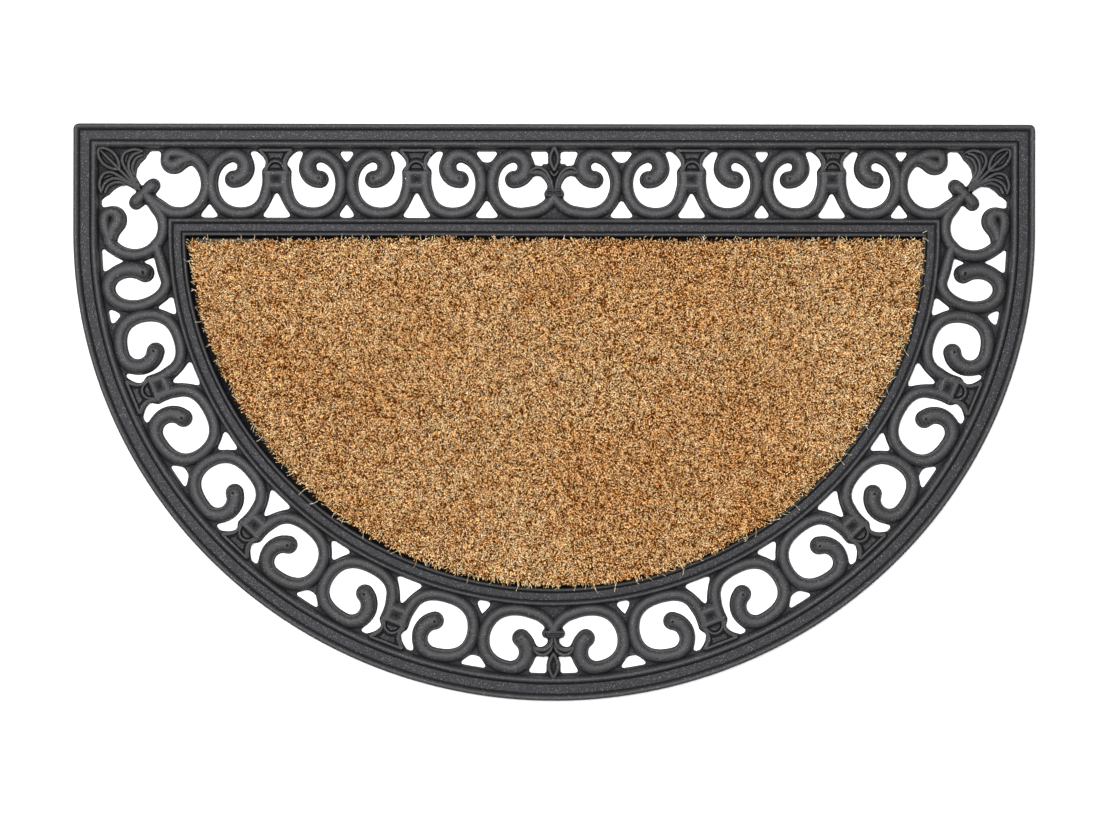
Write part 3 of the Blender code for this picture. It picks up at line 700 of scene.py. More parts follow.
def skin_group():
    """The skin of moulded rubber: a fine grain, and slow clouds of tone."""
    tree, given, put = group("moulded skin", {"Grain": 900.0, "Cloud": 14.0}, ("Grain", "Cloud", "Height"))
    spot = on_object(tree)
    grain = node(tree, 'ShaderNodeTexNoise', {"Vector": spot, "Scale": (given, "Grain"), "Detail": 3.0,
                                              "Roughness": 0.6})
    cloud = node(tree, 'ShaderNodeTexNoise', {"Vector": spot, "Scale": (given, "Cloud"), "Detail": 4.0,
                                              "Roughness": 0.55})
    feed(tree, put, {"Grain": grain, "Cloud": cloud, "Height": grain})
    return tree


def painted_crease_shade_group():
    """Painted shade in hollows: how open the surface is, from ambient occlusion, 1 on crests and flats and
    falling towards 0 deep between forms.
    """
    tree, given, put = group("painted_crease_shade", {"Reach": 0.006, "Depth": 1.0}, ("Open",))
    look = node(tree, 'ShaderNodeAmbientOcclusion', {"Distance": (given, "Reach")}, samples=8)
    feed(tree, put, {"Open": maths(tree, 'POWER', (look, "AO"), (given, "Depth"))})
    return tree


def patches_group():
    """Coir as it grows: slow patches of tone, and flecks along each fibre."""
    tree, given, put = group("coir patches", {"Scale": 9.0}, ("Warm", "Light", "Fleck"))
    spot = on_object(tree)
    apart = node(tree, 'ShaderNodeMapping', {"Vector": spot, "Location": (3.1, 1.7, 0.4)})
    warm = node(tree, 'ShaderNodeTexNoise', {"Vector": spot, "Scale": (given, "Scale"), "Detail": 3.0,
                                             "Roughness": 0.6})
    light = node(tree, 'ShaderNodeTexNoise', {"Vector": apart, "Scale": (given, "Scale"), "Detail": 6.0,
                                              "Roughness": 0.68})
    fine = node(tree, 'ShaderNodeTexNoise', {"Vector": spot, "Scale": 1250.0, "Detail": 2.0})
    feed(tree, put, {"Warm": warm, "Light": light, "Fleck": span(tree, fine, 0.38, 0.62, 0.36, 1.5)})
    return tree


def new_material(name, roughness):
    made = bpy.data.materials.new(name)
    made.use_nodes = True
    tree = made.node_tree
    shader = tree.nodes["Principled BSDF"]
    shader.inputs["Roughness"].default_value = roughness
    return made, tree, shader


def rubber_material(name, dark, light, grains, relief, rough, shine, reach=0.005, depth=1.3):
    """Satin black rubber with a moulded skin.

    `grains` is how many pale grains show, `relief` the depth of the skin and `shine` the strength
    of its gleam. Hollows narrower than twice the reach get painted shade: their colour is darkened by the
    power of the depth, and their gleam is dulled."""
    made, tree, shader = new_material(name, rough)
    skin = node(tree, 'ShaderNodeGroup', node_tree=groups["skin"])
    tone = mixed(tree, span(tree, (skin, "Grain"), 0.34, 0.66), dark, light)
    cloud = ramp(tree, (skin, "Cloud"), ((0.3, (0.86, 0.86, 0.84, 1.0)), (0.7, (1.1, 1.1, 1.14, 1.0))))
    tone = mixed(tree, 1.0, tone, cloud, 'MULTIPLY')
    for (scale, size, shade), share in ((PALE_GRAINS, grains), (DUST, DUST_SHARE)):
        specks = node(tree, 'ShaderNodeGroup', node_tree=groups["dust"])
        feed(tree, specks, {"Scale": scale, "Rarity": 1.0 - share, "Size": size})
        tone = mixed(tree, specks, tone, shade)
    # Painted shade: the colour is darkened in hollows by ambient occlusion, and made rougher there
    crease_shade = node(tree, 'ShaderNodeGroup', {"Reach": reach, "Depth": depth}, node_tree=groups["painted_crease_shade"])
    tone = mixed(tree, 1.0, tone, crease_shade, 'MULTIPLY')
    bump = node(tree, 'ShaderNodeBump', {"Strength": relief, "Distance": 0.0004, "Height": (skin, "Height")})
    feed(tree, shader, {"Base Color": tone, "Roughness": span(tree, crease_shade, 0.2, 0.9, 1.0, rough),
                        "Specular IOR Level": shine, "Normal": bump})
    return made


def fibre_material(name, dark, middle, pale, root):
    """Coir fibres: each has its own tone, and its root is painted dark as shade under the others."""
    made, tree, shader = new_material(name, 0.85)
    tone = node(tree, 'ShaderNodeAttribute', attribute_name="tone")
    rise = node(tree, 'ShaderNodeAttribute', attribute_name="rise")
    patch = node(tree, 'ShaderNodeGroup', node_tree=groups["patches"])
    total = maths(tree, 'ADD', (tone, "Fac"), span(tree, (patch, "Light"), 0.3, 0.7, -0.12, 0.12))
    shade = ramp(tree, total, ((0.0, dark), (0.5, middle), (1.0, pale)))
    warmth = span(tree, (patch, "Warm"), 0.42, 0.68, 0.0, 0.5)
    shade = mixed(tree, warmth, shade, (1.0, 0.86, 0.7, 1.0), 'MULTIPLY')
    # Painted shade: each fibre darkens to the root colour towards its root, where the pile shades it
    shade = mixed(tree, span(tree, (rise, "Fac"), 0.1, 0.7), root, shade)
    shade = mixed(tree, 1.0, shade, (patch, "Fleck"), 'MULTIPLY')
    feed(tree, shader, {"Base Color": shade, "Specular IOR Level": COIR_SHINE})
    return made


def bed_material():
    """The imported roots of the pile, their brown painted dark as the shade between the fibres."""
    made, tree, shader = new_material("coir_bed", 0.9)
    strands = node(tree, 'ShaderNodeTexNoise', {"Vector": on_object(tree), "Scale": 1100.0, "Detail": 3.0,
                                                "Distortion": 1.5})
    # Painted shade: the roots' brown is dark, as they lie in shade under the pile
    shade = ramp(tree, strands, ((0.35, colour(46, 22, 2)), (0.6, colour(98, 52, 10)),
                                 (0.75, colour(136, 82, 26))))
    patch = node(tree, 'ShaderNodeGroup', node_tree=groups["patches"])
    shade = mixed(tree, (patch, "Warm"), shade, (0.8, 0.7, 0.6, 1.0), 'MULTIPLY')
    bump = node(tree, 'ShaderNodeBump', {"Strength": 0.8, "Distance": 0.0006, "Height": strands})
    feed(tree, shader, {"Base Color": shade, "Specular IOR Level": COIR_SHINE, "Normal": bump})
    return made


# Specks on rubber: (scale, size, colour)
PALE_GRAINS = (1600.0, 0.36, colour(136, 136, 136))
DUST = (95.0, 0.036, colour(225, 225, 222))
DUST_SHARE = 0.015
COIR_SHINE = 0.04
groups = {"skin": skin_group(), "dust": dust_group(), "painted_crease_shade": painted_crease_shade_group(), "patches": patches_group()}
# The reach and depth of each rubber set its painted shade in hollows; the web's is deeper than the rims'
smooth_rubber = rubber_material("smooth_rubber", colour(33, 33, 35), colour(56, 56, 58),
                                grains=0.05, relief=0.45, rough=0.56, shine=0.33, depth=1.5)
grained_rubber = rubber_material("grained_rubber", colour(26, 26, 30), colour(50, 50, 54),
                                 grains=0.12, relief=0.7, rough=0.58, shine=0.22)
web_rubber = rubber_material("web_rubber", colour(34, 34, 37), colour(62, 62, 67),
                             grains=0.14, relief=0.7, rough=0.62, shine=0.24, reach=0.011, depth=1.8)
# The tray floor's rubber is painted darker as shade, with deeper painted shade in its hollows, for the dark
# gap round the pile
tray_rubber_painted_shade = rubber_material("tray_rubber_painted_shade", colour(24, 25, 28), colour(42, 44, 49),
                              grains=0.02, relief=0.5, rough=0.8, shine=0.1, reach=0.012, depth=2.0)
backing_cloth = rubber_material("coir_backing", colour(46, 48, 44), colour(84, 86, 78),
                                grains=0.1, relief=0.6, rough=0.9, shine=0.05, reach=0.002, depth=1.0)
# root is the colour of painted shade at the foot of a fibre
fibre_coir = fibre_material("coir_fibre", dark=colour(136, 64, 6), middle=colour(255, 195, 115),
                            pale=colour(255, 241, 198), root=colour(104, 48, 4))
stray_coir = fibre_material("coir_stray", dark=colour(222, 192, 138), middle=colour(240, 218, 172),
                            pale=colour(252, 238, 206), root=colour(214, 180, 124))
bed_coir = bed_material()


def finish(thing, *slots):
    """Gives a piece, or one part of an ornament, its finishes: smooth rubber where none is named."""
    thing.data.materials.clear()
    for slot in slots or (smooth_rubber,):
        thing.data.materials.append(slot)
    return thing


# The rims and the tray

def rim(name, section, closed):
    """A rim whose section runs round the outline; an open section is closed by the tray floor."""
    rows = []
    for inset, height, _ in section:
        edge = outline(inset)
        rows.append(np.column_stack((edge, np.full(len(edge), height))))
    if closed:
        rows.append(rows[0])
    spots = np.stack(rows)
    spots = np.concatenate((spots, spots[:, :1]), 1)
    made = shaped_grid(name, spots, fill=not closed)
    made = finish(joined(name, [made]), smooth_rubber, grained_rubber, tray_rubber_painted_shade)
    grained = [low[0] for low, high in zip(section, section[1:]) if low[2] and high[2]]
    flats = np.array([poly.center for poly in made.data.polygons]) / MM
    inset = inset_of(flats[:, 0], flats[:, 1])
    on_flat = (inset > min(grained)) & (inset < max(grained) + GRAIN_MARGIN) & (flats[:, 2] > GRAIN_ABOVE)
    # The tray floor's faces get the tray rubber's painted shade
    on_tray = (inset > TRAY_WALL) & (flats[:, 2] > TRAY_ABOVE)
    made.data.polygons.foreach_set("material_index", on_flat + 2 * on_tray)
    return made


outer_rim = rim("outer_rim", OUTER_RIM_SECTION, True)
inner_rim = rim("inner_rim_and_tray", INNER_RIM_SECTION, False)


# The scrolls

web_lines = []
web_plates = []


def moved(line, shift):
    """The same line further along the band."""
    return [(spot[0] + shift, *spot[1:]) for spot in line]


def ring_line(half_along, lead, curl, start):
    """A scroll that closes at larger `along`: down its stem, round the ring and in to the curl."""
    switch, end = curl["switch"], curl["end"]
    bends = list(lead)

    def bulge(turn):
        return 1.0 + curl["fullness"] * math.sin(2 * turn) ** 2

    count = round((360 + switch - start) / ARC_STEP)
    for k in range(count + 1):
        turn = math.radians(start + (360 + switch - start) * k / count)
        slant = RING_SLANT * min(math.sin(turn), 0.0)
        bends.append((half_along * bulge(turn) * math.cos(turn) + slant,
                      RING_MIDDLE + RING_RISE * bulge(turn) * math.sin(turn), 1.0))
    turn = math.radians(switch)
    curl_centre = (half_along * bulge(turn) - curl["curl_along"]) * math.cos(turn)
    curl_middle = RING_MIDDLE + (RING_RISE * bulge(turn) - curl["curl_rise"]) * math.sin(turn)
    count = max(round((end - switch) / CURL_STEP), 3)
    for k in range(1, count + 1):
        share = k / count
        turn = math.radians(switch + (end - switch) * share)
        width = 1.0 + (curl["widen"] - 1.0) * min(share / CURL_WIDENS, 1.0)
        if share > CURL_WIDENS:
            width += (curl["end_widen"] - curl["widen"]) * (share - CURL_WIDENS) / (1.0 - CURL_WIDENS)
        bends.append((curl_centre + curl["curl_along"] * math.cos(turn),
                      curl_middle + curl["curl_rise"] * math.sin(turn), width))
    return tube_line(bends)


def tube_line(bends):
    """A tube through spots of (along, across, width)."""
    line = through(bends, 3)
    return np.column_stack((line[:, :2], line[:, 2] * TUBE, np.full(len(line), TUBE_TOP)))


def volute_line(hollow_along, hollow_across, size):
    """A scroll whose end is rolled into a crook that runs back onto its own tube."""
    bends = list(VOLUTE_LEAD)
    count = round((360 + VOLUTE_SWITCH - VOLUTE_START) / ARC_STEP)
    for turn in np.radians(np.linspace(VOLUTE_START, 360 + VOLUTE_SWITCH, count + 1)):
        bends.append((VOLUTE_RADIUS * math.cos(turn), RING_MIDDLE + RING_RISE * math.sin(turn), 1.0))
    for along, across, width in VOLUTE_CROOK:
        bends.append((along * size + hollow_along, RING_MIDDLE + across * size + hollow_across, width))
    return tube_line(bends)


def eye_cutter(spot, heading, size, depth, tail):
    """A peg with a teardrop section that presses the eye into a rolled end."""
    rows = []
    turn = np.linspace(0.0, 2 * np.pi, EYE_SIDES + 1)
    towards = math.atan2(heading[1], heading[0]) + math.radians(EYE_TAIL_TURN)
    drop = 1.0 + tail * np.maximum(np.cos(turn - towards), 0.0) ** 5
    for radius, height in EYE_SECTION:
        reach = radius * size * drop
        rise = height * depth if height < 0 else height
        rows.append(np.column_stack((spot[0] + reach * np.cos(turn), spot[1] + reach * np.sin(turn),
                                     np.full(len(turn), TUBE_TOP + rise))))
    return joined("eye_cutter", [shaped_grid("eye_cutter", np.stack(rows))])


def scroll_form(name, line, eye, lift=0.0):
    """One scroll in band coordinates, with an eye pressed into its rolled end if it has one."""
    line = line.copy()
    line[:, 3] += lift
    made = joined(name, [bar(name, line, arc=10)])
    if not eye:
        return made
    size, depth, tail, back = eye
    way = line[-1, :2] - line[-3, :2]
    way /= np.hypot(*way)
    cutter = eye_cutter(line[-1, :2] - way * back, way, size, depth, tail)
    only(made)
    press = made.modifiers.new("press the eye", 'BOOLEAN')
    press.operation = 'DIFFERENCE'
    press.object = cutter
    press.solver = 'EXACT'
    bpy.ops.object.modifier_apply(modifier=press.name)
    clear(cutter)
    return made


def laid_scroll(form, line, name, place, shift=0.0, mirror=False):
    """A scroll on the mat; its line is kept for the web below it."""
    along = -line[:, 0] if mirror else line[:, 0]
    x, y = place(shift + along, line[:, 1])
    web_lines.append(np.column_stack((x, y, line[:, 2])))
    return laid(form, name, place, shift, mirror)


def band_scrolls(name, place, first, step, vases, curl):
    """All the rings of one band."""
    pieces = []
    curved = place is on_curve
    half = (first - FLEUR_STEM - RING_TO_TOUCH) / 2
    lead = CURVE_FLEUR_LEAD if curved else TOP_FLEUR_LEAD
    rolled = FLEUR_CURL if curved else curl
    line = ring_line(half, moved(lead, -half - FLEUR_STEM), rolled, FLEUR_RING_START)
    form = scroll_form(name + "_fleur_ring", line, FLEUR_EYE)
    for side in (1, -1):
        pieces.append(laid_scroll(form, line, name + "_ring", place, side * (FLEUR_STEM + half), side < 0))
    clear(form)
    half = (step - VASE_STEM - RING_TO_TOUCH) / 2
    forms = {}
    eye = CURVE_EYE if curved else TOP_EYE
    for here in (half, half - LAST_RING_CUT) if curved else (half,):
        line = ring_line(here, moved(VASE_LEAD, -here - VASE_STEM), curl, VASE_RING_START)
        forms[here] = (scroll_form(name + "_ring", line, eye), line)
    for side in (1, -1):
        for number in range(1, vases + 1):
            along = side * (touch_along(number, first, step) + step)
            last = number == vases and curved
            for turn in (1, -1):
                here = half - LAST_RING_CUT if last and turn == side else half
                form, line = forms[here]
                shift = along + turn * (VASE_STEM + here)
                pieces.append(laid_scroll(form, line, name + "_ring", place, shift, turn < 0))
    clear(*[form for form, _ in forms.values()])
    return pieces


def corner_scrolls():
    """The two scrolls that leave each palmette, and the ring squeezed in below them."""
    pieces = []
    for swap in (0, 1):
        line = volute_line(*VOLUTE_HOLLOWS[swap])
        line[:, 0] += VOLUTE_ALONG - swap
        form = scroll_form("volute", line, None, 0.05)
        for side in (1, -1):
            pieces.append(laid_scroll(form, line, "volute", on_corner(side, bool(swap))))
        clear(form)
    line = ring_line(CORNER_RING_HALF, CORNER_LEAD, CORNER_CURL, CORNER_RING_START)
    form = scroll_form("corner_ring", line, CORNER_EYE)
    touch = touch_along(CURVE_VASES + 1, CURVE_FLEUR_TO_TOUCH, CURVE_STEP) - CORNER_RING_RISE
    centre = touch + CORNER_RING_HALF + RING_TO_TOUCH
    for side in (1, -1):
        pieces.append(laid_scroll(form, line, "corner_ring", on_curve, side * centre, side > 0))
    clear(form)
    return pieces


rings = band_scrolls("top", on_top, TOP_FLEUR_TO_TOUCH, TOP_STEP, TOP_VASES, TOP_CURL)
rings += band_scrolls("curve", on_curve, CURVE_FLEUR_TO_TOUCH, CURVE_STEP, CURVE_VASES, CURVE_CURL)
rings += corner_scrolls()
scroll_rings = finish(joined("scroll_rings", rings))


# Vases, fleurs and palmettes

def ridge(name, line, steps=3, foot=RIDGE_FOOT, rise=RIDGE_RISE, arc=5):
    """A thin rounded ridge with rounded ends, on a smooth line through the given spots."""
    return bar(name, through(line, steps), rise, foot, arc, start_round=True, reach=1.0)


def relief(name, edge, steps, height):
    """A patch over a rectangle of band coordinates whose top follows the height function."""
    (low_a, high_c), (high_a, _), (_, low_c) = edge[0], edge[1], edge[2]
    along, across = np.meshgrid(np.linspace(low_a, high_a, steps), np.linspace(low_c, high_c, steps))
    top = np.pad(np.stack((along, across, height(along, across)), 2), ((1, 1), (1, 1), (0, 0)), mode='edge')
    foot = np.full(top.shape[:2], True)
    foot[1:-1, 1:-1] = False
    top[foot, 2] = TUBE_FOOT
    return shaped_grid(name, top)


def vase_height(along, across):
    """Where the two stems, the lid and the saddle bulge together round a four-pointed dimple."""
    stems = TUBE_TOP - VASE_BULGE * (VASE_STEM_CREST - np.abs(along)) ** 2
    lid = TUBE_TOP - VASE_LID_DROP - VASE_BULGE * (across - VASE_LID_CREST) ** 2
    above = across > VASE_SADDLE_CREST
    fall = np.where(above, VASE_BULGE, VASE_UNDER_BULGE) * (across - VASE_SADDLE_CREST) ** 2
    saddle = TUBE_TOP - VASE_SADDLE_DROP - fall
    return np.maximum(np.maximum(stems * above, lid), saddle)


def vase_form():
    """The flared vase: a plate with a window and a half moon, framed by ridges, on its two stems."""
    parts = [finish(plate("vase_plate", VASE_PLATE, VASE_PLATE_TOP)),
             finish(relief("vase_block", VASE_BLOCK, VASE_BLOCK_STEPS, vase_height))]
    for name, edge in (("vase_moon", VASE_MOON_FLOOR), ("vase_window", VASE_WINDOW_FLOOR)):
        pad = plate(name, edge, VASE_PAD_TOP, VASE_PAD_FOOT, VASE_PAD_SHOULDER)
        parts.append(finish(pad, grained_rubber))
    for line in (VASE_SIDE, mirrored(VASE_SIDE), VASE_BROW, VASE_ARCH):
        parts.append(finish(ridge("vase_ridge", line)))
    parts.append(finish(ridge("vase_lid", VASE_LID, steps=4, foot=TUBE_FOOT, rise=0.8, arc=7)))
    return joined("vase", parts)


def collar_form(middle, half_long, half_high):
    """A collar: a pillow box with rounded corners and a slot along its top."""
    edge = []
    for quarter, (right, up) in enumerate(((1, 1), (-1, 1), (-1, -1), (1, -1))):
        for step in range(4):
            turn = math.pi / 2 * (quarter + step / 3)
            edge.append((right * (half_long - COLLAR_ROUNDING) + COLLAR_ROUNDING * math.cos(turn),
                         middle + up * (half_high - COLLAR_ROUNDING) + COLLAR_ROUNDING * math.sin(turn)))
    made = plate("collar", edge, COLLAR_TOP - COLLAR_STEPS[0][1], TUBE_FOOT, COLLAR_SHOULDER)
    edit_all(made)
    bpy.ops.mesh.select_all(action='DESELECT')
    bpy.ops.object.mode_set(mode='OBJECT')
    highest = max(made.data.polygons, key=lambda face: face.center.z * 1000 + min(face.normal.z, 0.9))
    highest.select = True
    bpy.ops.object.mode_set(mode='EDIT')
    bpy.ops.mesh.select_mode(type='FACE')
    for width, rise in COLLAR_STEPS:
        bpy.ops.mesh.inset(thickness=width * MM, depth=rise * MM)
    bpy.ops.mesh.select_mode(type='VERT')
    bpy.ops.object.mode_set(mode='OBJECT')
    return made


def fleur_form(size):
    """The bud, its two arched leaves, and the collar over the V where two rings meet."""
    parts = [finish(plate("fleur_bud", lens_edge(*size["bud"]), FLEUR_PLATE_TOP)),
             finish(plate("fleur_web", FLEUR_WEB, FLEUR_WEB_TOP), web_rubber)]
    for turn in (1, -1):
        line = lens_side(*size["bud_ridge"], turn)
        parts.append(finish(bar("bud_ridge", line, RIDGE_RISE, RIDGE_FOOT, arc=6, start_round=True)))
    for line in (size["leaf"], mirrored(size["leaf"])):
        parts.append(finish(bar("fleur_leaf", through(line, 4), LEAF_RISE, arc=6)))
    for line in size["ridges"]:
        parts.append(finish(ridge("leaf_ridge", line)))
        parts.append(finish(ridge("leaf_ridge", mirrored(line))))
    parts.append(finish(ridge("bud_chevron", size["chevron"])))
    parts.append(finish(collar_form(*size["collar"])))
    return joined("fleur", parts)


def from_corner(line):
    """A line given as (along, down) from the corner, in band coordinates."""
    return [(spot[0], BAND - spot[1], *spot[2:]) for spot in line]


def swapped(line):
    """A line mirrored in the corner's diagonal."""
    return [(spot[1], spot[0], *spot[2:]) for spot in line]


def on_diagonal(line):
    """A line given as (aside, reach) about the corner's diagonal, as (along, down)."""
    slant = math.sqrt(0.5)
    return [(spot[1] + spot[0] * slant, spot[1] - spot[0] * slant, *spot[2:]) for spot in line]


def palmette_form():
    """The corner ornament: a lens leaf, two side leaves, a stem and a knobbed collar."""
    lens = from_corner(on_diagonal(lens_edge(*PALMETTE_LENS)))
    parts = [finish(plate("palmette_lens", lens, PALMETTE_LEAF_TOP)),
             finish(plate("palmette_web", from_corner(PALMETTE_WEB), PALMETTE_WEB_TOP), web_rubber)]
    for line in (PALMETTE_LENS_RIDGE, mirrored(PALMETTE_LENS_RIDGE), PALMETTE_VEIN, mirrored(PALMETTE_VEIN),
                 PALMETTE_MIDRIB):
        parts.append(finish(ridge("lens_ridge", from_corner(on_diagonal(line)))))
    for turned in (list, swapped):
        parts.append(finish(plate("side_leaf", from_corner(turned(PALMETTE_LEAF)), PALMETTE_LEAF_TOP)))
        for line in PALMETTE_LEAF_RIDGES:
            parts.append(finish(ridge("side_ridge", from_corner(turned(line)))))
    collar = through(from_corner(palmette_collar()), 4)
    parts.append(finish(bar("collar", collar, rise=0.75, arc=9, start_round=True, reach=0.6)))
    return joined("palmette", parts)


def palmette_collar():
    """The knobbed bar across the palmette's stem, as (along, down, half width, top)."""
    return [(PALMETTE_COLLAR_AT + wide, PALMETTE_COLLAR_AT - wide, thick, top)
            for wide, thick, top in PALMETTE_COLLAR]


def keep_plate(edge, place, shift=0.0):
    edge = np.asarray(edge, float)
    web_plates.append(np.column_stack(place(edge[:, 0] + shift, edge[:, 1])))


def keep_line(line, place, shift=0.0, steps=3):
    line = through(line, steps)
    web_lines.append(np.column_stack((*place(line[:, 0] + shift, line[:, 1]), line[:, 2])))


form = vase_form()
vase_pieces = []
for place, first, step, count in ((on_top, TOP_FLEUR_TO_TOUCH, TOP_STEP, TOP_VASES),
                                  (on_curve, CURVE_FLEUR_TO_TOUCH, CURVE_STEP, CURVE_VASES)):
    for number in range(1, count + 1):
        for side in (1, -1):
            shift = side * (touch_along(number, first, step) + step)
            vase_pieces.append(laid(form, "vase", place, shift))
            keep_plate(VASE_PLATE, place, shift)
            keep_plate(VASE_WEB, place, shift)
    for number in range(1, count + 2):
        for side in (1, -1):
            keep_plate(TOUCH_WEB, place, side * touch_along(number, first, step))
    band = "top" if place is on_top else "curve"
    for web, narrow in ((LOW_TOUCH_WEB, NARROW_INNER_GAPS), (HIGH_TOUCH_WEB, NARROW_OUTER_GAPS)):
        for number, nudge in narrow[band]:
            for side in (1, -1):
                keep_plate(web, place, side * (touch_along(number, first, step) + nudge))
clear(form)
keep_plate(CLOSED_GAP, on_top, -touch_along(TOP_VASES + 1, TOP_FLEUR_TO_TOUCH, TOP_STEP))
vases = joined("vases", vase_pieces)

fleur_pieces = []
for size, place in ((FLEURS["top"], on_top), (FLEURS["curve"], on_curve)):
    form = fleur_form(size)
    fleur_pieces.append(laid(form, "fleur", place))
    clear(form)
    keep_plate(lens_edge(*size["bud"]), place)
    keep_plate(FLEUR_WEB, place)
    keep_plate(size["fill"], place)
    middle, half_long, half_high = size["collar"]
    bar_half = half_long - half_high
    collar_line = ((-bar_half, middle, half_high), (bar_half, middle, half_high))
    for line in (size["leaf"], mirrored(size["leaf"]), collar_line):
        keep_line(line, place)
fleurs = joined("fleurs", fleur_pieces)

form = palmette_form()
palmette_pieces = []
for side in (1, -1):
    place = on_corner(side, False)
    palmette_pieces.append(laid(form, "palmette", place))
    for edge in (PALMETTE_WEB, PALMETTE_LEAF, swapped(PALMETTE_LEAF)):
        keep_plate(from_corner(edge), place)
    keep_line(from_corner(palmette_collar()), place)
clear(form)
palmettes = joined("palmettes", palmette_pieces)


# The low web between the scrolls

def to_segment(x, y, start, end):
    """How far along a segment each point's nearest spot lies, as a share, and the distance to it."""
    dx, dy = end[0] - start[0], end[1] - start[1]
    share = np.clip(((x - start[0]) * dx + (y - start[1]) * dy) / (dx * dx + dy * dy + 1e-9), 0.0, 1.0)
    return share, np.hypot(x - start[0] - share * dx, y - start[1] - share * dy)


def line_distance(x, y, line):
    """Distance to a line of (x, y, half width), less the half width there."""
    best = np.full(x.shape, 1e3)
    for start, end in zip(line, line[1:]):
        share, gap = to_segment(x, y, start, end)
        best = np.minimum(best, gap - start[2] - share * (end[2] - start[2]))
    return best


def plate_distance(x, y, edge):
    """Distance to a plate's edge, negative inside."""
    best = np.full(x.shape, 1e3)
    inside = np.zeros(x.shape, bool)
    for start, end in zip(edge, np.roll(edge, -1, 0)):
        best = np.minimum(best, to_segment(x, y, start, end)[1])
        dx, dy = end - start
        crosses = (start[1] > y) != (end[1] > y)
        inside ^= crosses & (x < start[0] + (y - start[1]) * dx / (dy or 1e-9))
    return np.where(inside, -best, best)


def web_field(xs, ys):
    """Below zero where the web is: round all that stands on it, filled where a scroll nears a rim."""
    x, y = np.meshgrid(xs, ys)
    inset = inset_of(x, y)
    rims = np.minimum(inset - OUTER_RIM - OUTER_LEDGE, INNER_RIM_EDGE - INNER_LEDGE - inset)
    total = np.full(x.shape, 1e-9)
    things_on_web = [(line, line_distance) for line in web_lines]
    things_on_web += [(edge, plate_distance) for edge in web_plates]
    for shape, distance in things_on_web:
        margin = WEB_REACH + (shape[:, 2].max() if shape.shape[1] == 3 else 0.0)
        low, high = shape[:, :2].min(0) - margin, shape[:, :2].max(0) + margin
        columns = slice(*np.searchsorted(xs, (low[0], high[0])))
        rows = slice(*np.searchsorted(ys, (low[1], high[1])))
        flange = WEB_FLANGE if distance is line_distance else WEB_PLATE_FLANGE
        gap = distance(x[rows, columns], y[rows, columns], shape) - flange
        total[rows, columns] += np.exp(-np.maximum(gap, WEB_DEEPEST) / WEB_BLEND)
    things = -WEB_BLEND * np.log(total)
    near = sum(np.exp(-np.clip(gap, *WEB_BOUNDS) / WEB_WEDGE) for gap in (things, rims))
    field = -WEB_WEDGE * np.log(near)
    return np.maximum(field, np.maximum(WEB_UNDER_OUTER_RIM - inset, inset - WEB_UNDER_INNER_RIM))


# For each way a grid square can be crossed: (edge in, edge out), with the web on the left.
# The edges of a square are 0 below, 1 right, 2 above and 3 left.
CROSSINGS = {1: [(0, 3)], 2: [(1, 0)], 3: [(1, 3)], 4: [(2, 1)], 5: [(0, 3), (2, 1)], 6: [(2, 0)],
             7: [(2, 3)], 8: [(3, 2)], 9: [(0, 2)], 10: [(1, 0), (3, 2)], 11: [(1, 2)], 12: [(3, 1)],
             13: [(0, 1)], 14: [(3, 0)]}


def zero_lines(xs, ys, field):
    """The closed lines where the field is zero, as lists of (x, y)."""
    inside = field < 0
    code = inside[:-1, :-1] + 2 * inside[:-1, 1:] + 4 * inside[1:, 1:] + 8 * inside[1:, :-1]
    follows = {}
    for r, c in zip(*np.nonzero((code > 0) & (code < 15))):
        edges = ((0, r, c), (1, r, c + 1), (0, r + 1, c), (1, r, c))
        for first, last in CROSSINGS[int(code[r, c])]:
            follows[edges[first]] = edges[last]

    def spot(edge):
        upright, r, c = edge
        r2, c2 = (r + 1, c) if upright else (r, c + 1)
        share = field[r, c] / (field[r, c] - field[r2, c2])
        return xs[c] + (xs[c2] - xs[c]) * share, ys[r] + (ys[r2] - ys[r]) * share

    lines = []
    while follows:
        edge, line = next(iter(follows)), []
        while edge in follows:
            line.append(spot(edge))
            edge = follows.pop(edge)
        lines.append(np.array(line))
    return lines


def thinned(line, tolerance):
    """The line without the points that lie within the tolerance of its longer chords."""
    keep = np.zeros(len(line) + 1, bool)
    ring = np.concatenate((line, line[:1]))
    spans = [(0, len(line) // 2), (len(line) // 2, len(line))]
    while spans:
        a, b = spans.pop()
        keep[a] = keep[b] = True
        if b - a < 2:
            continue
        way = ring[b] - ring[a]
        size = max(np.hypot(*way), 1e-9)
        steps = ring[a + 1:b] - ring[a]
        away = np.abs(steps[:, 0] * way[1] - steps[:, 1] * way[0]) / size
        far = int(away.argmax())
        if away[far] > tolerance:
            spans += [(a, a + 1 + far), (a + 1 + far, b)]
    return ring[:-1][keep[:-1]]


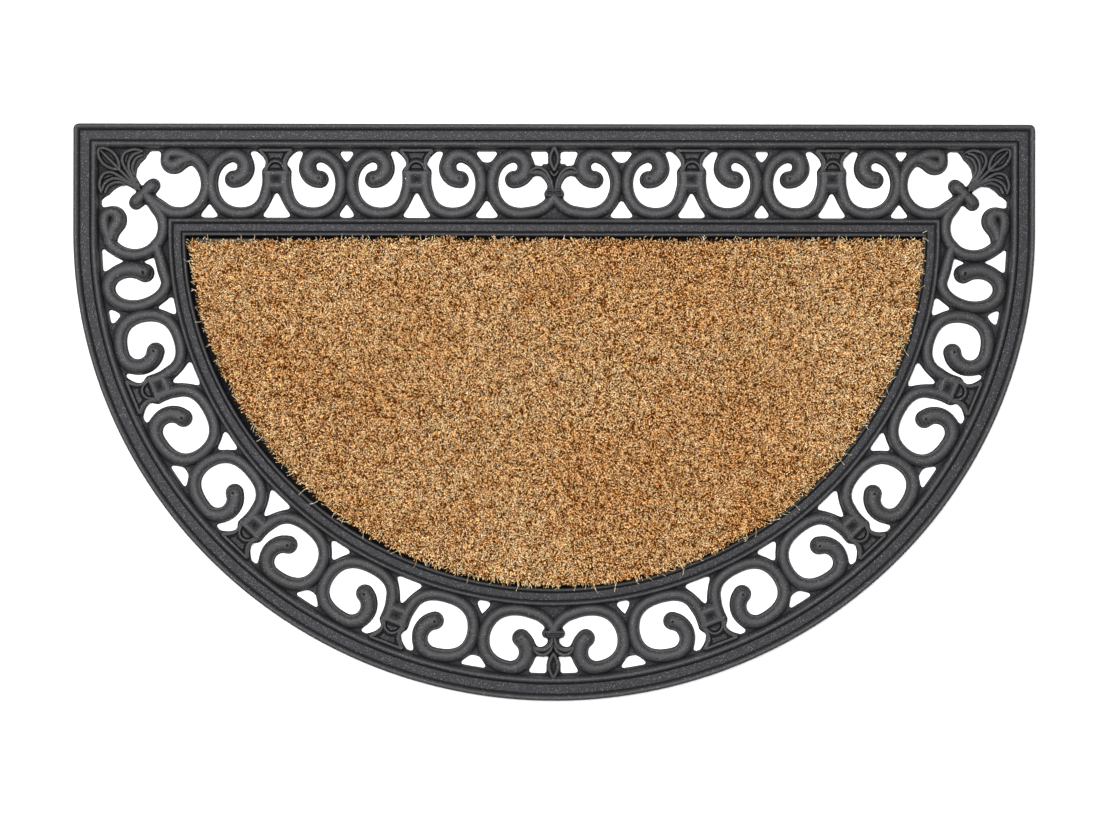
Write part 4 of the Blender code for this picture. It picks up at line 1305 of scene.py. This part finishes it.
def web_piece():
    """The web as a flat filled curve with rounded edges, cut through at every opening."""
    xs = np.arange(-HALF_WIDTH, HALF_WIDTH + WEB_STEP, WEB_STEP)
    ys = np.arange(CURVE_Y - CURVE_DEPTH, BACK_Y + WEB_STEP, WEB_STEP)
    sheet = bpy.data.curves.new("base_web", 'CURVE')
    sheet.dimensions = '2D'
    sheet.fill_mode = 'BOTH'
    sheet.bevel_depth = WEB_SLOPE * MM
    sheet.bevel_resolution = 0
    sheet.offset = -WEB_SLOPE * MM
    for line in zero_lines(xs, ys, web_field(xs, ys)):
        if len(line) < SHORTEST_LINE:
            continue
        line = thinned(line, LINE_TOLERANCE)
        spline = sheet.splines.new('POLY')
        spline.points.add(len(line) - 1)
        flat = np.column_stack((line * MM, np.zeros(len(line)), np.ones(len(line))))
        spline.points.foreach_set("co", flat.ravel())
        spline.use_cyclic_u = True
    made = bpy.data.objects.new("base_web", sheet)
    bpy.context.collection.objects.link(made)
    only(made)
    bpy.ops.object.convert(target='MESH')
    made = bpy.context.object
    points = points_of(made)
    points[:, 2] = np.interp(points[:, 2], (-WEB_SLOPE, 0.0, WEB_SLOPE), (WEB_FOOT, WEB_SLOPE_FOOT, WEB_TOP))
    set_points(made, points)
    edit_all(made)
    bpy.ops.mesh.remove_doubles(threshold=WEB_MERGE_REACH)
    bpy.ops.object.mode_set(mode='OBJECT')
    return finish(joined("base_web", [made]), web_rubber)


base_web = web_piece()
rubber_pieces = [outer_rim, inner_rim, scroll_rings, vases, fleurs, palmettes, base_web]


# The coir

def soft_noise(x, y, size, seed):
    """Smooth random waves from 0 to 1, with lumps of the given size."""
    table = np.random.default_rng(seed).random((256, 256))
    u, v = x / size + 500.0, y / size + 500.0
    i, j = np.floor(u).astype(int), np.floor(v).astype(int)
    a, b = u - i, v - j
    a, b = a * a * (3 - 2 * a), b * b * (3 - 2 * b)

    def corner(p, q):
        return table[(i + p) % 256, (j + q) % 256]

    return (corner(0, 0) * (1 - a) * (1 - b) + corner(1, 0) * a * (1 - b)
            + corner(0, 1) * (1 - a) * b + corner(1, 1) * a * b)


def short_of_curve(x, y):
    """How far the pile stops short of the curved cut line, for points on or near it."""
    return np.interp(np.degrees(np.arctan2(x, CURVE_Y - y)), *CURVED_EDGE)


def pile_inset(x, y):
    """How far in from the pile's own edge each point lies."""
    x = x - COIR_SHIFT
    curved = curve_inset(x, y) - short_of_curve(x, y)
    return np.minimum(curved, BACK_Y - y - np.interp(x, *STRAIGHT_EDGE)) - COIR_INSET


def pile_curve(angle, inset):
    """Points on the pile's curved edge, `inset` inwards."""
    x, y = curve_xy(angle, COIR_INSET + inset)
    x, y = curve_xy(angle, COIR_INSET + inset + short_of_curve(x, y))
    return x + COIR_SHIFT, y


def bed_piece():
    """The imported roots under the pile: a lumpy slab that fills the tray."""
    ring = np.stack(pile_curve(np.linspace(np.pi, 0.0, 2001), BED_INSET))
    middle, half = (ring[0, -1] + ring[0, 0]) / 2, (ring[0, -1] - ring[0, 0]) / 2
    columns = middle + half * BED_TIP * np.sin(np.linspace(-np.pi / 2, np.pi / 2, BED_COLUMNS))
    low = np.interp(columns, ring[0], ring[1])
    top = BACK_Y - COIR_INSET - BED_INSET - np.interp(columns - COIR_SHIFT, *STRAIGHT_EDGE)
    share = np.linspace(0.0, 1.0, BED_ROWS)[:, None]
    y = np.minimum(low, top - BED_NARROWEST) * (1 - share) + top * share
    x = np.broadcast_to(columns, y.shape)
    lumps = soft_noise(x, y, BED_LUMPS[0], SEED) + soft_noise(x, y, BED_LUMPS[1], SEED + 1)
    edge = np.clip((pile_inset(x, y) - BED_INSET) / BED_EDGE_WIDTH, 0.0, 1.0)
    z = BED_TOP - BED_EDGE_DROP * (1 - edge) ** 2 + BED_LUMP_RISE * (lumps - 1.0)
    made = shaped_grid("coir_bed", np.stack((x, y, z), 2), fill=False)
    edit_all(made)
    bpy.ops.mesh.select_all(action='DESELECT')
    bpy.ops.mesh.select_non_manifold(extend=False, use_wire=False, use_multi_face=False,
                                     use_non_contiguous=False, use_verts=False)
    bpy.ops.mesh.extrude_edges_move(TRANSFORM_OT_translate={"value": (0.0, 0.0, -0.001)})
    bpy.ops.object.mode_set(mode='OBJECT')
    points = points_of(made)
    skirt = np.array([v.select for v in made.data.vertices])
    points[skirt, 2] = TRAY_FLOOR + PIECE_GAP
    set_points(made, points)
    only(made)
    bpy.ops.object.mode_set(mode='EDIT')
    bpy.ops.mesh.edge_face_add()
    bpy.ops.object.mode_set(mode='OBJECT')
    return finish(joined("coir_bed", [made]), bed_coir)


def mesh_from(name, points, faces, values, slot):
    """A mesh from its points and faces, with named values on the points."""
    mesh = bpy.data.meshes.new(name)
    mesh.from_pydata((np.asarray(points) * MM).tolist(), [], faces)
    for label, numbers in values.items():
        mesh.attributes.new(label, 'FLOAT', 'POINT').data.foreach_set("value", numbers.astype(np.float32))
    mesh.materials.append(slot)
    made = bpy.data.objects.new(name, mesh)
    bpy.context.collection.objects.link(made)
    return made


# A fibre's corners on its cell of the bake map: root, then the three corners of its cut end
FIBRE_CELL = {"side": ((0.5, 0.08), (0.12, 0.8), (0.88, 0.8)),
              "end": ((0.12, 0.84), (0.88, 0.84), (0.5, 0.96))}


def pile_piece(name, roots, tips, half, tone):
    """Fibres as slim three-sided spikes: a point at the root, widening to a cut end."""
    count = len(roots)
    way = tips - roots
    way /= np.linalg.norm(way, axis=1)[:, None]
    side = np.cross(way, (0.0, 0.0, 1.0))
    side /= np.maximum(np.linalg.norm(side, axis=1), 1e-6)[:, None]
    up = np.cross(side, way)
    turn = np.random.default_rng(SEED + 5).random(count)[:, None] * 2.1
    corners = []
    for k in range(3):
        angle = turn + 2 * np.pi * k / 3
        corners.append(tips + (side * np.cos(angle) + up * np.sin(angle)) * half[:, None])
    points = np.stack((roots, *corners), 1).reshape(-1, 3)
    start = 4 * np.arange(count)[:, None, None]
    faces = (start + np.array(((0, 1, 2), (0, 2, 3), (0, 3, 1), (1, 3, 2)))).reshape(-1, 3)
    # rise is 0 at the root and 1 at the cut end; the material paints shade towards the root
    rise = np.tile((0.0, 1.0, 1.0, 1.0), count)
    values = {"tone": np.repeat(tone, 4), "rise": rise}
    made = mesh_from(name, points, faces.tolist(), values, fibre_coir)
    across = math.ceil(math.sqrt(count))
    cell = np.stack((np.arange(count) % across, np.arange(count) // across), 1)[:, None, None, :]
    corner = np.array([FIBRE_CELL["side"]] * 3 + [FIBRE_CELL["end"]])[None]
    spread = (cell + corner) / across
    made.data.uv_layers.new(name="OFBake").data.foreach_set("uv", spread.astype(np.float32).ravel())
    return made


def pile_pieces():
    """The cut pile: fibres on a jittered lattice, leaning in whorls, ragged at the edge."""
    random = np.random.default_rng(SEED)
    reach = HALF_WIDTH - COIR_INSET + 2.0
    x, y = np.meshgrid(np.arange(-reach, reach, FIBRE_SPACING), np.arange(*PILE_ROWS, FIBRE_SPACING))
    x, y = x.ravel() + COIR_SHIFT, y.ravel()
    x = x + random.uniform(-FIBRE_JITTER, FIBRE_JITTER, x.size) * FIBRE_SPACING
    y = y + random.uniform(-FIBRE_JITTER, FIBRE_JITTER, x.size) * FIBRE_SPACING
    inside = pile_inset(x, y) > RAGGED_EDGE[0] + RAGGED_EDGE[1] * soft_noise(x, y, RAGGED_SIZE, SEED + 2)
    inside &= soft_noise(x, y, BARE_SIZE, SEED + 7) < BARE_ABOVE
    x, y = x[inside], y[inside]
    count = x.size
    whorls = 2 * np.pi * soft_noise(x, y, WHORL_SIZE, SEED + 3) * 1.6
    lean_way = whorls + random.normal(0.0, 1.3, count)
    lean = random.gamma(2.2, 0.85, count).clip(*LEAN_LIMITS)
    edge = np.clip(1.0 - pile_inset(x, y) / EDGE_WIDTH, 0.0, 1.0)
    step = 0.5
    out_x = pile_inset(x - step, y) - pile_inset(x + step, y)
    out_y = pile_inset(x, y - step) - pile_inset(x, y + step)
    size = np.maximum(np.hypot(out_x, out_y), 1e-6)
    push = edge * random.uniform(0.0, EDGE_PUSH, count)
    lean = lean * (1.0 - EDGE_STIFFENS * edge)
    dx = np.cos(lean_way) * lean + out_x / size * push
    dy = np.sin(lean_way) * lean + out_y / size * push
    tufts = soft_noise(x, y, TUFT_SIZES[0], SEED + 4) * 0.6
    tufts = tufts + soft_noise(x, y, TUFT_SIZES[1], SEED + 6) * 0.4
    uneven = random.gamma(1.6, 0.42, count).clip(0.0, 3.0)
    top = COIR_TOP - TIP_DROP - TUFT_DROP * (1 - tufts) ** 1.5 - uneven - EDGE_DROP * edge ** 2
    top = np.minimum(top, COIR_TOP - TIP_CLEARANCE)
    root = np.minimum(BED_TOP - ROOT_DEPTH - EDGE_ROOT_DEPTH * edge, top - LEAST_RISE)
    roots = np.column_stack((x, y, root))
    tips = np.column_stack((x + dx, y + dy, top))
    half = random.uniform(*FIBRE_HALF, count)
    dark = random.random(count) < DARK_SHARE
    tone = np.where(dark, random.uniform(*DARK_TONES, count), random.normal(*PALE_TONES, count))
    # Painted light and shade: tufts that stand higher are paler, the hollows between them darker
    tone = np.clip(tone + TUFT_LIGHT_AND_SHADE * (tufts - 0.5), 0.0, 1.0)
    pieces = []
    for k in range(PILE_PIECES):
        part = slice(k * count // PILE_PIECES, (k + 1) * count // PILE_PIECES)
        pieces.append(pile_piece(f"coir_pile_{k + 1}", roots[part], tips[part], half[part], tone[part]))
    return pieces


def stray_piece():
    """Long pale fibres that stick out over the rim, each a thin bent three-sided tube."""
    random = np.random.default_rng(SEED + 9)
    points, faces = [], []
    angle = random.uniform(0.0, np.pi, STRAY_FIBRES)
    for k in range(STRAY_FIBRES):
        if random.random() < STRAY_AT_STRAIGHT:
            x = random.uniform(-1, 1) * (HALF_WIDTH - COIR_INSET - STRAIGHT_ENDS_IN)
            y = BACK_Y - COIR_INSET - STRAIGHT_STRAY_IN
            outwards, longest = math.pi / 2, LONGEST_AT_STRAIGHT
        else:
            x, y = (float(v) for v in pile_curve(angle[k], CURVE_STRAY_IN))
            outwards, longest = math.atan2(y - CURVE_Y, x), LONGEST_STRAY
        way = outwards + random.normal(0.0, STRAY_SPREAD)
        length = min(max(random.gamma(3.0, 1.5), SHORTEST_STRAY), longest)
        bend = random.normal(0.0, STRAY_BEND)
        height = random.uniform(*STRAY_HEIGHT)
        fall = random.uniform(*STRAY_FALL)
        half = random.uniform(*STRAY_HALF)
        step = length / (STRAY_ROWS - 1)
        start = len(points)
        for r in range(STRAY_ROWS):
            for turn in (0.0, 2 * math.pi / 3, 4 * math.pi / 3):
                aside = math.cos(turn) * half
                points.append((x - math.sin(way) * aside, y + math.cos(way) * aside,
                               height + math.sin(turn) * half))
            x, y = x + math.cos(way) * step, y + math.sin(way) * step
            height = min(height + fall * step, COIR_TOP)
            way += bend
        for r in range(STRAY_ROWS - 1):
            for corner in range(3):
                a, b = start + 3 * r + corner, start + 3 * r + (corner + 1) % 3
                faces.append((a, b, b + 3, a + 3))
        last = len(points)
        faces += [(start + 2, start + 1, start), (last - 3, last - 2, last - 1)]
    tones = np.repeat(random.random(STRAY_FIBRES), 3 * STRAY_ROWS)
    values = {"tone": tones, "rise": np.full(len(points), 1.0)}
    made = mesh_from("coir_strays", points, faces, values, stray_coir)
    return finish(joined("coir_strays", [made]), stray_coir)


def backing_piece():
    """The edge of the matting's grey backing, which shows along the straight edge at the left."""
    low, high = BACKING_STRIP
    bpy.ops.object.select_all(action='DESELECT')
    middle = tuple(MM * (a + b) / 2 for a, b in zip(low, high))
    bpy.ops.mesh.primitive_cube_add(size=MM, location=middle)
    made = bpy.context.object
    made.name = "coir_backing"
    bpy.ops.transform.resize(value=tuple(b - a for a, b in zip(low, high)))
    bpy.ops.object.mode_set(mode='EDIT')
    bpy.ops.mesh.select_all(action='SELECT')
    bpy.ops.mesh.subdivide(number_cuts=3)
    bpy.ops.object.mode_set(mode='OBJECT')
    return finish(joined("coir_backing", [made]), backing_cloth)


coir_bed = bed_piece()
backing = backing_piece()
pile = pile_pieces()
strays = stray_piece()


# Every piece rides the root body, and the imported part it stands in for is hidden

for piece in rubber_pieces:
    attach(piece, "root")
    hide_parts("frame")
for piece in [coir_bed, backing, strays] + pile:
    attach(piece, "root")
    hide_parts("coir")


# Floor, light and camera: in metres and radians, the lens and sensor in millimetres

FLOOR_SIZE = 8.0
FLOOR_Z = -0.0002
AMBIENT = 0.05
LAMP_AT = (-0.25, 0.35, 2.3)
LAMP_TILT = (-0.15, -0.1, 0.0)
LAMP_SIZE = (2.2, 1.6)
LAMP_POWER = 117.0
CAMERA_AT = (-0.0030, 0.0003, 1.3875)
CAMERA_TURN = 0.0015
LENS = 58.0
SENSOR = 36.0

bpy.ops.object.select_all(action='DESELECT')
bpy.ops.mesh.primitive_plane_add(size=FLOOR_SIZE, location=(0.0, 0.0, FLOOR_Z))
floor = bpy.context.object
floor.name = "pale_floor"
pale, tree, shader = new_material("pale_floor", 0.9)
shader.inputs["Base Color"].default_value = (0.93, 0.93, 0.93, 1.0)
floor.data.materials.append(pale)

world = bpy.data.worlds.new("studio")
world.use_nodes = True
world.node_tree.nodes["Background"].inputs["Color"].default_value = (1.0, 1.0, 1.0, 1.0)
world.node_tree.nodes["Background"].inputs["Strength"].default_value = AMBIENT
bpy.context.scene.world = world

bpy.ops.object.light_add(type='AREA', location=LAMP_AT)
lamp = bpy.context.object
lamp.name = "softbox"
lamp.data.shape = 'RECTANGLE'
lamp.data.size, lamp.data.size_y = LAMP_SIZE
lamp.data.energy = LAMP_POWER
lamp.rotation_euler = LAMP_TILT

bpy.ops.object.camera_add(location=CAMERA_AT, rotation=(0.0, 0.0, CAMERA_TURN))
camera = bpy.context.object
camera.data.lens = LENS
camera.data.sensor_width = SENSOR
bpy.context.scene.camera = camera
bpy.context.scene.view_settings.view_transform = 'Standard'
